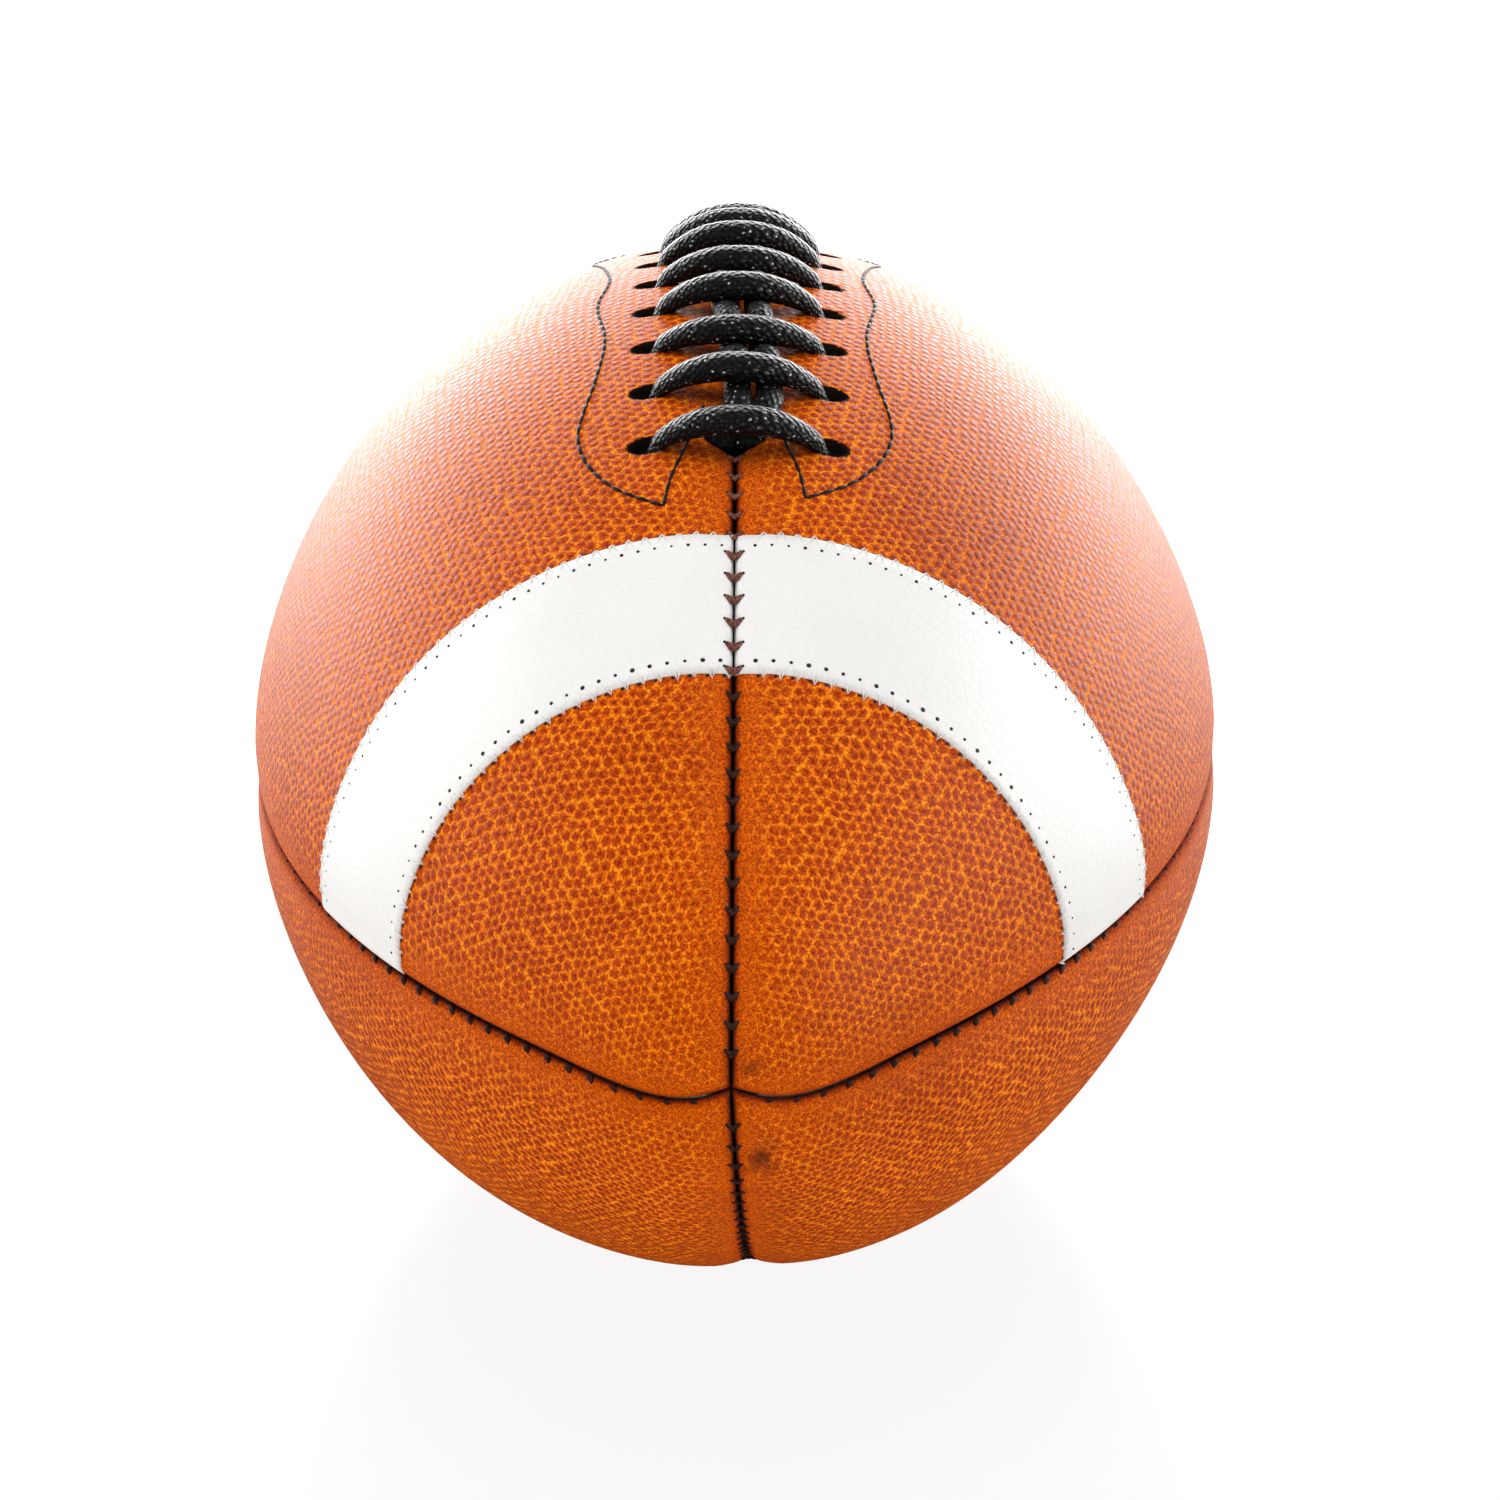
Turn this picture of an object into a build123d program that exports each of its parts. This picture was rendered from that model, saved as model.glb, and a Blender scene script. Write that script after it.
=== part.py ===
"""American football: four leather panels round a bladder, sewn with turned edges, laced along the top.

The long axis is Y, the laces face +Z and the front nose points along -Y. The origin is its middle.
"""
import os
from math import asin, atan, cos, degrees, radians, sin, sqrt, tan

from build123d import *

os.makedirs("parts", exist_ok=True)

# Ball outline: a crown arc runs tangent into a nose arc at each end, turned about the long axis
half_length = 139.0
girth_radius = 85.5
nose_radius = 38.0

# Layers, from the skin inwards
leather_wall = 2.4
lining_wall = 1.2
facing_wall = 1.0
bladder_wall = 0.9
layer_gap = 0.1

# Seams: the edges of two panels roll over into a crease and lie turned in against each other
seam_gap = 0.2
turned_edge_wall = 1.2
turned_edge_depth = 6.0
crease_half_width = 2.4
crease_depth = 1.9
crease_lip = 0.35
crease_roll_shares = (0.28, 0.34)
seam_thread_radius = 0.5
seam_thread_depth = 0.4
seam_thread_nose_gap = 4.0
seam_thread_slit_gap = 6.0

# Stripes: strips let into the two upper panels, with a bead of thread over each edge
stripe_nose_gap = 41.5
stripe_run = 24.2
stripe_wall = 0.8
stripe_proud = 0.2
stripe_gap = 0.05
stripe_seam_gap = 1.0
stripe_thread_width = 0.9
stripe_thread_height = 0.4

# Lace: two strands along the seam, and a ladder of bars over them through punched holes
bar_count = 8
bar_pitch = 15.0
hole_offset = 15.2
lace_radius = 2.3
lace_sides = 8
lace_hole_gap = 0.35
lace_bend = 4.0
bar_bend = 5.0
bar_crown_bend = 9.0
bar_shoulder = 2.9
bar_flat_half = 5.5
strand_offset = 2.6
slit_station = 55.5
tail_depth = 5.0
under_gap = 0.7

# Lace facings: a patch behind each row of holes, with its outline sewn through the leather
facing_half_length = 65.8
facing_corner_offset = 11.6
facing_end_offset = 20.9
facing_end_station = 58.4
facing_belly_offset = 26.3
facing_belly_station = 43.0
facing_waist_offset = 22.5
facing_waist_station = 16.0
facing_middle_offset = 24.3
facing_inner_offset = 5.5
facing_inner_station = 41.5
facing_thread_width = 0.8
facing_thread_height = 0.5

# Bladder pocket under the lacing
pocket_half_width = 20.0
pocket_half_length = 62.0
pocket_corner = 8.0
pocket_gap = 0.6

# Valve, in the lower right panel at the girth
valve_angle = 135.0
valve_recess = 0.4
valve_stem_radius = 3.6
valve_stem_length = 14.0
valve_gap = 0.15
boot_flange_radius = 11.0
boot_flange_wall = 1.4
core_radius = 2.2
core_gap = 0.05
needle_radius = 1.05
needle_depth = 10.0

# Worked out from the sizes above
nose_centre = half_length - nose_radius
lean = 2 * atan((girth_radius - nose_radius) / nose_centre)
crown_radius = nose_radius + nose_centre / sin(lean)
crown_centre = girth_radius - crown_radius
lean_deg = degrees(lean)
stripe_end = half_length - stripe_nose_gap
stripe_station = stripe_end - stripe_run
lining_inset = leather_wall + layer_gap
facing_inset = lining_inset + lining_wall + layer_gap
bladder_inset = turned_edge_depth + layer_gap
under_depth = turned_edge_depth + under_gap + lace_radius
pocket_inset = under_depth + lace_radius + pocket_gap
strand_lift = lace_radius + layer_gap
cut_length = 2 * half_length
valve_way = Vector(sin(radians(valve_angle)), 0, cos(radians(valve_angle)))
valve_plane = Plane(origin=valve_way * girth_radius, x_dir=(0, 1, 0), z_dir=valve_way)
bar_stations = [(place - (bar_count - 1) / 2) * bar_pitch for place in range(bar_count)]


def skin_height(across, station):
    """Height of the skin above the long axis on the crown, at a place across and along the ball."""
    radius = crown_centre + sqrt(crown_radius**2 - station**2)
    return sqrt(radius**2 - across**2)


def half_outline(inset):
    """Upper half of the ball's lengthwise outline, drawn in from the skin by an inset."""
    with BuildSketch() as outline:
        with BuildLine():
            rear = CenterArc((nose_centre, 0), nose_radius - inset, 0, 90 - lean_deg)
            CenterArc((0, crown_centre), crown_radius - inset, 90 - lean_deg, 2 * lean_deg)
            front = CenterArc((-nose_centre, 0), nose_radius - inset, 90 + lean_deg, 90 - lean_deg)
            Line(front @ 1, rear @ 0)
        make_face()
    return outline.sketch


def core(inset):
    """Half section of all that lies deeper than an inset, drawn below the axis to turn from there."""
    with BuildSketch(Plane.YZ) as section:
        add(half_outline(inset), rotation=180)
    return section.sketch


def layer(outer, inner, start=-half_length, end=half_length):
    """Half section of a layer between two insets, from one station to another."""
    with BuildSketch(Plane.YZ) as section:
        add(half_outline(outer))
        add(half_outline(inner), mode=Mode.SUBTRACT)
        with Locations(((start + end) / 2, 0)):
            Rectangle(end - start, cut_length, mode=Mode.INTERSECT)
    return section.sketch


def quarter(side, level, margin):
    """Keep the quarter of the part on one side and level, held back from both seam planes."""
    ends = {1: Align.MIN, -1: Align.MAX}
    with Locations((side * margin, 0, level * margin)):
        align = (ends[side], Align.CENTER, ends[level])
        Box(cut_length, 2 * cut_length, cut_length, align=align, mode=Mode.INTERSECT)


def write(piece, name):
    piece.part.label = name
    export_step(piece.part, f"parts/{name}.step")


# Crease along the top seam: both walls roll over from the skin to the seam line
with BuildPart() as crease:
    with BuildLine(Plane.YZ) as crease_path:
        CenterArc((nose_centre, 0), nose_radius, 0, 90 - lean_deg)
        CenterArc((0, crown_centre), crown_radius, 90 - lean_deg, 2 * lean_deg)
        CenterArc((-nose_centre, 0), nose_radius, 90 + lean_deg, 90 - lean_deg)
    with BuildSketch(Plane(origin=(0, half_length, 0), z_dir=(0, 0, 1))) as crease_section:
        with BuildLine():
            roll = (crease_half_width * crease_roll_shares[0], -crease_depth * crease_roll_shares[1])
            right = ThreePointArc((0, -crease_depth), roll, (crease_half_width, crease_lip))
            Line(right @ 1, (crease_half_width, crease_depth))
            Line((crease_half_width, crease_depth), (-crease_half_width, crease_depth))
            Line((-crease_half_width, crease_depth), (-crease_half_width, crease_lip))
            ThreePointArc((-crease_half_width, crease_lip), (-roll[0], roll[1]), (0, -crease_depth))
        make_face()
    sweep(path=crease_path.wire())

# Openings for the lace: punched holes on both sides and a slot at each end of the lacing
with BuildPart() as lace_openings:
    with BuildSketch(Plane.XY):
        with Locations([(side * hole_offset, station) for side in (-1, 1) for station in bar_stations]):
            Circle(lace_radius + lace_hole_gap)
        with Locations((0, -slit_station), (0, slit_station)):
            slot = lace_radius + lace_hole_gap
            SlotOverall(2 * (strand_offset + slot), 2 * slot)
    extrude(amount=cut_length)

with BuildPart() as valve_opening:
    with BuildSketch(valve_plane):
        Circle(valve_stem_radius + valve_gap)
    extrude(amount=valve_stem_length, both=True)


def cut_creases():
    for turn in (0, 90, 180, 270):
        add(crease.part, rotation=(0, turn, 0), mode=Mode.SUBTRACT)


def make_panel(name, side, level):
    """One leather panel, with its edges rolled over and turned in along both seams."""
    with BuildPart() as panel:
        revolve(layer(0, leather_wall), axis=Axis.Y)
        turned_edge = layer(leather_wall / 2, turned_edge_depth)
        edge = extrude(turned_edge, amount=turned_edge_wall + seam_gap / 2, both=True, mode=Mode.PRIVATE)
        for turn in (0, 90, 180, 270):
            add(edge, rotation=(0, turn, 0))
        quarter(side, level, seam_gap / 2)
        cut_creases()
        if level > 0:
            add(lace_openings.part, mode=Mode.SUBTRACT)
            seat = stripe_wall - stripe_proud + stripe_gap
            for start, end in ((stripe_station, stripe_end), (-stripe_end, -stripe_station)):
                band = layer(-stripe_wall, seat, start - stripe_gap, end + stripe_gap)
                revolve(band, axis=Axis.Y, mode=Mode.SUBTRACT)
        elif side > 0:
            add(valve_opening.part, mode=Mode.SUBTRACT)
    write(panel, name)


def make_lining(name, side, level):
    """The cloth lining of one panel, between the turned edges."""
    with BuildPart() as lining:
        revolve(layer(lining_inset, lining_inset + lining_wall), axis=Axis.Y)
        quarter(side, level, seam_gap / 2 + turned_edge_wall + layer_gap)
        if level > 0:
            add(lace_openings.part, mode=Mode.SUBTRACT)
        elif side > 0:
            add(valve_opening.part, mode=Mode.SUBTRACT)
    write(lining, name)


def make_stripe(name, side, start, end):
    """One stripe, from seam to seam across an upper panel, folded into both creases."""
    with BuildPart() as stripe:
        revolve(layer(-stripe_proud, stripe_wall - stripe_proud, start, end), axis=Axis.Y)
        quarter(side, 1, stripe_seam_gap)
        cut_creases()
    write(stripe, name)


def make_stripe_thread(name, side, start, end):
    """The two beads of thread that sew one stripe down along its edges."""
    low = -(stripe_proud + stripe_gap)
    high = low - stripe_thread_height
    half = stripe_thread_width / 2
    with BuildPart() as thread:
        for edge in (start, end):
            revolve(layer(high, low, edge - half, edge + half), axis=Axis.Y)
        quarter(side, 1, crease_half_width)
    write(thread, name)


for side, side_name in ((-1, "left"), (1, "right")):
    make_panel(f"panel_upper_{side_name}", side, 1)
    make_panel(f"panel_lower_{side_name}", side, -1)
    make_lining(f"lining_upper_{side_name}", side, 1)
    make_lining(f"lining_lower_{side_name}", side, -1)
    make_stripe(f"stripe_front_{side_name}", side, -stripe_end, -stripe_station)
    make_stripe(f"stripe_rear_{side_name}", side, stripe_station, stripe_end)
    make_stripe_thread(f"stripe_thread_front_{side_name}", side, -stripe_end, -stripe_station)
    make_stripe_thread(f"stripe_thread_rear_{side_name}", side, stripe_station, stripe_end)


def facing_edge(side):
    """Points of a facing's wavy outer edge, from its rear corner to its front corner."""
    rear_half = [
        (facing_corner_offset, facing_half_length),
        (facing_end_offset, facing_end_station),
        (facing_belly_offset, facing_belly_station),
        (facing_waist_offset, facing_waist_station),
    ]
    front_half = [(across, -station) for across, station in reversed(rear_half)]
    points = rear_half + [(facing_middle_offset, 0)] + front_half
    return [(side * across, station) for across, station in points]


def make_facing(name, side):
    """The patch that backs one row of lace holes, under the lining."""
    with BuildPart() as facing:
        revolve(layer(facing_inset, facing_inset + facing_wall), axis=Axis.Y)
        with BuildSketch(Plane.XY) as patch:
            with BuildLine():
                edge = Spline(facing_edge(side))
                inner = side * facing_inner_offset
                Polyline(edge @ 1, (inner, -facing_inner_station), (inner, facing_inner_station), edge @ 0)
            make_face()
        extrude(patch.sketch, amount=cut_length, mode=Mode.INTERSECT)
        add(lace_openings.part, mode=Mode.SUBTRACT)
    write(facing, name)


def make_facing_thread(name, side):
    """The sewn outline of one facing, a bead of thread on the skin."""
    with BuildPart() as thread:
        revolve(layer(-(layer_gap + facing_thread_height), -layer_gap), axis=Axis.Y)
        with BuildSketch(Plane.XY) as trail:
            with BuildLine() as trail_line:
                edge = Spline(facing_edge(side))
                inner = side * facing_inner_offset
                Line(edge @ 1, (inner, -facing_inner_station))
                Line(edge @ 0, (inner, facing_inner_station))
            trace(trail_line.edges(), line_width=facing_thread_width)
        extrude(trail.sketch, amount=cut_length, mode=Mode.INTERSECT)
    write(thread, name)


for side, side_name in ((-1, "left"), (1, "right")):
    make_facing(f"lace_facing_{side_name}", side)
    make_facing_thread(f"facing_thread_{side_name}", side)


def strand_points(across):
    """Corners of one strand: its front dive, the meeting of its end tangents above, its rear dive."""
    strand_radius = crown_radius + strand_lift
    leave = asin((slit_station - lace_bend) / strand_radius)
    corner = crown_centre + strand_radius * cos(leave) - lace_bend * tan(leave)
    peak = crown_centre + strand_radius / cos(leave)
    return [(across, -slit_station, corner), (across, 0, peak), (across, slit_station, corner)]


def bar_points(station, start_side):
    """Corners of one bar, up out of the hole on its start side, over the strands and down the other hole."""
    hole_height = skin_height(hole_offset, station)
    top = skin_height(0, station) + strand_lift + 2 * lace_radius + layer_gap
    rise = [
        (hole_offset, hole_height - under_depth),
        (hole_offset, hole_height + bar_shoulder),
        (bar_flat_half, top),
    ]
    across_first = [(start_side * across, station, height) for across, height in rise]
    across_last = [(-start_side * across, station, height) for across, height in reversed(rise)]
    return across_first + across_last


# The lace starts at its tail in the front slot, runs back as the right strand, climbs the ladder of bars
# towards the front and runs back again as the left strand, to its other tail in the rear slot
slot_skin = skin_height(strand_offset, slit_station)
right_strand = strand_points(strand_offset)
left_strand = strand_points(-strand_offset)
route = [(strand_offset, -slit_station, slot_skin - tail_depth)] + right_strand
bends = [lace_bend, crown_radius + strand_lift, lace_bend]
route.append((strand_offset, slit_station, slot_skin - under_depth))
bends.append(lace_bend)
start_side = 1
for station in reversed(bar_stations):
    route += bar_points(station, start_side)
    bends += [lace_bend, bar_bend, bar_crown_bend, bar_crown_bend, bar_bend, lace_bend]
    start_side = -start_side
route.append((-strand_offset, -slit_station, slot_skin - under_depth))
bends.append(lace_bend)
route += left_strand + [(-strand_offset, slit_station, slot_skin - tail_depth)]
bends += [lace_bend, crown_radius + strand_lift, lace_bend]

with BuildPart() as lace:
    with BuildLine() as lace_path:
        FilletPolyline(route, radius=bends)
    with BuildSketch(Plane(origin=route[0], z_dir=(0, 0, 1))) as lace_section:
        RegularPolygon(lace_radius, lace_sides)
    sweep(path=lace_path.wire())
write(lace, "lace")
lace_length = lace_path.wire().length
print(f"lace: {lace_length:.1f} mm long, bends of {lace_bend} to {crown_radius + strand_lift:.1f} mm")
swept_volume = lace_section.sketch.area * lace_length
print(f"lace: volume {lace.part.volume:.0f}, section times length {swept_volume:.0f}")

# Seam threads: a full run from nose to nose, and a short run from the rear nose to the lacing
thread_skip = degrees(seam_thread_nose_gap / nose_radius)
thread_nose_radius = nose_radius - seam_thread_depth
thread_crown_radius = crown_radius - seam_thread_depth

with BuildPart() as full_run:
    with BuildLine(Plane.YZ) as full_path:
        CenterArc((nose_centre, 0), thread_nose_radius, thread_skip, 90 - lean_deg - thread_skip)
        CenterArc((0, crown_centre), thread_crown_radius, 90 - lean_deg, 2 * lean_deg)
        CenterArc((-nose_centre, 0), thread_nose_radius, 90 + lean_deg, 90 - lean_deg - thread_skip)
    with BuildSketch(Plane(origin=full_path.wire() @ 0, z_dir=full_path.wire() % 0)):
        RegularPolygon(seam_thread_radius, lace_sides)
    sweep(path=full_path.wire())

with BuildPart() as short_run:
    with BuildLine(Plane.YZ) as short_path:
        reach_deg = degrees(asin((slit_station + seam_thread_slit_gap) / crown_radius))
        CenterArc((nose_centre, 0), thread_nose_radius, thread_skip, 90 - lean_deg - thread_skip)
        CenterArc((0, crown_centre), thread_crown_radius, 90 - lean_deg, lean_deg - reach_deg)
    with BuildSketch(Plane(origin=short_path.wire() @ 0, z_dir=short_path.wire() % 0)):
        RegularPolygon(seam_thread_radius, lace_sides)
    sweep(path=short_path.wire())

for name, turn in (("right", 90), ("bottom", 180), ("left", 270)):
    with BuildPart() as seam_thread:
        add(full_run.part, rotation=(0, turn, 0))
    write(seam_thread, f"seam_thread_{name}")

with BuildPart() as seam_thread_rear:
    add(short_run.part)
write(seam_thread_rear, "seam_thread_top_rear")

with BuildPart() as seam_thread_front:
    add(short_run.part)
    mirror(about=Plane.XZ, mode=Mode.REPLACE)
write(seam_thread_front, "seam_thread_top_front")


def bladder_body(grow):
    """The bladder's form, drawn in by a wall, with its pocket under the lacing."""
    with BuildPart() as pocket:
        with BuildSketch(Plane.XY):
            width, length = 2 * (pocket_half_width + grow), 2 * (pocket_half_length + grow)
            RectangleRounded(width, length, pocket_corner + grow)
        extrude(amount=cut_length)
        revolve(core(pocket_inset + grow), axis=Axis.Y, mode=Mode.SUBTRACT)
    with BuildPart() as body:
        revolve(core(bladder_inset + grow), axis=Axis.Y)
        add(pocket.part, mode=Mode.SUBTRACT)
    return body.part


with BuildPart() as bladder:
    add(bladder_body(0))
    add(bladder_body(bladder_wall), mode=Mode.SUBTRACT)
    add(valve_opening.part, mode=Mode.SUBTRACT)
write(bladder, "bladder")

# Valve: a boot with a flange inside the bladder, and a plug with the needle's way in
flange_inset = bladder_inset + bladder_wall + layer_gap
valve_face = valve_plane.offset(-valve_recess)

with BuildPart() as valve_boot:
    revolve(layer(flange_inset, flange_inset + boot_flange_wall), axis=Axis.Y)
    with BuildSketch(valve_plane) as rim:
        Circle(boot_flange_radius)
    extrude(rim.sketch, amount=-girth_radius, mode=Mode.INTERSECT)
    with BuildSketch(valve_face) as stem:
        Circle(valve_stem_radius)
    extrude(stem.sketch, amount=-valve_stem_length)
    with BuildSketch(valve_face) as boot_bore:
        Circle(core_radius + core_gap)
    extrude(boot_bore.sketch, amount=-valve_stem_length, mode=Mode.SUBTRACT)
write(valve_boot, "valve_boot")

with BuildPart() as valve_core:
    with BuildSketch(valve_face) as plug:
        Circle(core_radius)
    extrude(plug.sketch, amount=-valve_stem_length)
    with BuildSketch(valve_face) as needle:
        Circle(needle_radius)
    extrude(needle.sketch, amount=-needle_depth, mode=Mode.SUBTRACT)
write(valve_core, "valve_core")
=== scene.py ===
# %% [markdown]
# # A laced leather football
# Four tan leather panels are sewn into one long ball, with two white stripes across the upper pair and a
# black lace along the top seam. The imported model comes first, as a fixed frame in metres: the long axis is Y,
# the front nose points along -Y and the laces face +Z. Every piece below is modelled where that frame says.

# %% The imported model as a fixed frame
from math import asin, atan, atan2, copysign, cos, exp, hypot, pi, radians, sin, sqrt

import bmesh
import bpy
from mathutils import Matrix, Vector


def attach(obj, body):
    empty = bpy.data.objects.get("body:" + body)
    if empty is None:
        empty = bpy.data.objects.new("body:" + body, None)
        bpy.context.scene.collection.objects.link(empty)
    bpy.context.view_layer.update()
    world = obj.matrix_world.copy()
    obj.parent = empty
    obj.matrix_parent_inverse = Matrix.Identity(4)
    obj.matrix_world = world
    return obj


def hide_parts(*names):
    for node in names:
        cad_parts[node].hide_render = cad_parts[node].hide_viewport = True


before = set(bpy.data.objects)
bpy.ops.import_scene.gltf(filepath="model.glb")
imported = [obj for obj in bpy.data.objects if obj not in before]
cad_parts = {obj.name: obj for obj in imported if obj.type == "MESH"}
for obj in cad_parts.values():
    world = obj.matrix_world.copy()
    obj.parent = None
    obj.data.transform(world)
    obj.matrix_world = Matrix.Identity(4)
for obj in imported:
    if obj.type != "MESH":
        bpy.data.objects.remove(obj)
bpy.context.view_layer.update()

mm = 0.001
print("nodes in the frame:", len(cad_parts))

# %% [markdown]
# ## Camera
# The photograph looks along the ball from in front of its nose and a little above. A long lens keeps the far
# end nearly as wide as the near one, so the camera stands 0.9 m off. Its matrix is built from the three
# directions right, up and back, which is easier to check than a chain of turns.

# %% Camera at the photograph's viewing angle
camera_distance = 900 * mm
camera_rise, camera_swing, camera_roll = radians(23.906), radians(0.44), radians(-0.515)
camera_target = Vector((2.872 * mm, 0, -2.902 * mm))
image_size, focal_pixels = 1500, 4932

back = Vector((sin(camera_swing) * cos(camera_rise), -cos(camera_swing) * cos(camera_rise), sin(camera_rise)))
eye = back * camera_distance
look = (camera_target - eye).normalized()
level = look.cross(Vector((0, 0, 1))).normalized()
above = level.cross(look)
right = cos(camera_roll) * level + sin(camera_roll) * above
up = cos(camera_roll) * above - sin(camera_roll) * level
camera_data = bpy.data.cameras.new("camera")
camera_data.sensor_width = 36
camera_data.lens = camera_data.sensor_width * focal_pixels / image_size
camera = bpy.data.objects.new("camera", camera_data)
camera.matrix_world = Matrix.Translation(eye) @ Matrix((right, up, -look)).transposed().to_4x4()
bpy.context.scene.collection.objects.link(camera)
bpy.context.scene.camera = camera
print(f"lens {camera_data.lens:.1f} mm")

# %% [markdown]
# ## The ball's form
# A football's outline is a long crown arc that runs tangent into a tight nose arc at each end, turned about
# the long axis. One function gives the outline at any arc length from the girth, and another places a point
# by that run, an angle round the ball and a height above the skin. A third turns a point back into those
# three numbers. With them, a stitch or a stripe can be drawn flat and then laid on the ball.

# %% Outline and places on the skin
half_length, girth_radius, nose_radius = 139 * mm, 85.5 * mm, 38 * mm
nose_centre = half_length - nose_radius
lean = 2 * atan((girth_radius - nose_radius) / nose_centre)
crown_radius = nose_radius + nose_centre / sin(lean)
crown_centre = girth_radius - crown_radius
crown_run = crown_radius * lean
half_run = crown_run + nose_radius * (pi / 2 - lean)


def outline(run):
    """Station, radius and lean of the skin at an arc length from the girth."""
    way = min(abs(run), half_run)
    if way < crown_run:
        turn = way / crown_radius
        station, radius = crown_radius * sin(turn), crown_centre + crown_radius * cos(turn)
    else:
        turn = lean + (way - crown_run) / nose_radius
        station, radius = nose_centre + nose_radius * sin(turn), nose_radius * cos(turn)
    return copysign(station, run), radius, copysign(turn, run)


def place(run, angle, height=0.0):
    """The point at a run along the ball, an angle round it from the laces and a height above the skin."""
    station, radius, turn = outline(run)
    radius += height * cos(turn)
    station += height * sin(turn)
    return Vector((radius * sin(angle), station, radius * cos(angle)))


def find(point):
    """Run, angle and height of a point, the other way round from place."""
    radius, station = hypot(point.x, point.z), abs(point.y)
    turn = atan2(station, radius - crown_centre)
    if turn < lean:
        run, height = turn * crown_radius, hypot(station, radius - crown_centre) - crown_radius
    else:
        turn = atan2(station - nose_centre, radius)
        run = crown_run + (turn - lean) * nose_radius
        height = hypot(station - nose_centre, radius) - nose_radius
    return copysign(run, point.y), atan2(point.x, point.z), height


def smooth(low, high, value):
    """A smooth step from 0 at low to 1 at high."""
    part = max(0.0, min(1.0, (value - low) / (high - low)))
    return part * part * (3 - 2 * part)


def run_at(station):
    """Arc length from the girth to a station on the crown."""
    return crown_radius * asin(station / crown_radius)


print(f"nose to nose over the skin: {2 * half_run / mm:.0f} mm, girth {2 * pi * girth_radius / mm:.0f} mm")

# %% [markdown]
# ## Seams
# The panels are sewn inside out and turned, so each seam is a crease: both edges roll over into a narrow
# valley and the leather swells again beside it. The side seams dip a little below the middle just behind the
# nose, where the two upper panels bulge over the lower ones. The crease could be a bump in the material, but
# it shows in the outline and catches shadow, so it moves the vertices.

# %% Seam lines and the crease beside them
seam_angles = {"top": radians(0.8), "right": radians(88.4), "bottom": radians(177.9), "left": radians(270.3)}
crease_depth, crease_reach = 1.6 * mm, 2.1 * mm
puff_depth, puff_reach = 0.6 * mm, 8.5 * mm
bottom_depth, bottom_reach, bottom_widens = 0.5 * mm, 2.4 * mm, (10 * mm, 60 * mm)
allowance_depth, allowance_from, allowance_to = 0.28 * mm, 3.0 * mm, 6.0 * mm
side_swell, side_swell_reach = {"right": 2.1 * mm, "left": 1.6 * mm}, radians(20)
flat_depth, flat_angle, flat_reach = 1.5 * mm, radians(128), radians(20)
seam_dip, seam_dip_from_nose = 2.3 * mm, 11 * mm
seam_half_gap = 0.16 * mm


def seam_angle(seam, run):
    """Angle of a seam round the ball, with the side seams' dip behind each nose."""
    angle = seam_angles[seam]
    from_nose = (half_run - abs(run)) / seam_dip_from_nose
    if seam in ("left", "right") and from_nose > 0.02:
        shift = seam_dip * (from_nose * exp(1 - from_nose)) ** 2
        angle += (shift if seam == "right" else -shift) / outline(run)[1]
    return angle


def turned_from(angle, other):
    """The turn from one angle to another, between minus and plus half a turn."""
    return (angle - other + pi) % (2 * pi) - pi


def nearest_seam(run, angle):
    """Distance over the skin to the nearest seam, its name and the turn from it."""
    radius = outline(run)[1]
    nearest = (radius, "top", 0.0)
    for seam in seam_angles:
        off = turned_from(angle, seam_angle(seam, run))
        if abs(off) < pi / 2:
            nearest = min(nearest, (radius * abs(sin(off)), seam, off))
    return nearest


def skin_rise(run, angle):
    """Height of the sewn skin against the plain form: a swell that falls into the crease."""
    gap, seam, _ = nearest_seam(run, angle)
    wider = smooth(*bottom_widens, half_run - abs(run)) if seam == "bottom" else 0.0
    roll = max(0.0, 1 - gap / (crease_reach + wider * bottom_reach))
    rise = -(crease_depth + wider * bottom_depth) * (1 - sqrt(1 - roll * roll))
    rise -= puff_depth * exp(-((gap / puff_reach) ** 2))
    rise -= allowance_depth * (1 - smooth(allowance_from, allowance_to, gap))
    fullness = (outline(run)[1] / girth_radius) ** 2
    for seam, swell in side_swell.items():
        rise += fullness * swell * exp(-((turned_from(angle, seam_angles[seam]) / side_swell_reach) ** 2))
    return rise - fullness * flat_depth * exp(-((turned_from(angle, flat_angle) / flat_reach) ** 2))


print(f"crease bottom at the girth: {skin_rise(0, seam_angles['right']) / mm:.2f} mm")

# %% [markdown]
# ## Lacing places
# Eight bars cross the top seam through pairs of punched holes. Each hole is a dent in the leather's mesh, and
# the leather's material paints shade near black into it together with a narrow rim, because from a low camera
# the rim is most of what shows. The seam opens at both ends of the lacing, where the long strands go in, and
# shade is painted dark into those openings too. The same places are used for the dents and for the lace itself.

# %% Punched holes and the openings at the ends of the lacing
bar_count, bar_pitch, first_bar = 8, 14.8 * mm, -52.0 * mm
ladder_shift, hole_across = 0.5 * mm, 15.0 * mm
hole_half_width, hole_half_height, hole_depth = 3.0 * mm, 1.8 * mm, 2.0 * mm
hole_rim = 1.42
hole_edge, lowest_dent = (0.75, 1.15), -2.1 * mm
slit_half, slit_opens, slit_edge = 0.5 * mm, 4.6 * mm, (0.7, 1.2)
slit_front, slit_rear = -55.2 * mm, 55.0 * mm
strand_front, strand_rear = -51.6 * mm, 51.2 * mm
bar_stations = [first_bar + bar_pitch * count for count in range(bar_count)]


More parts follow.
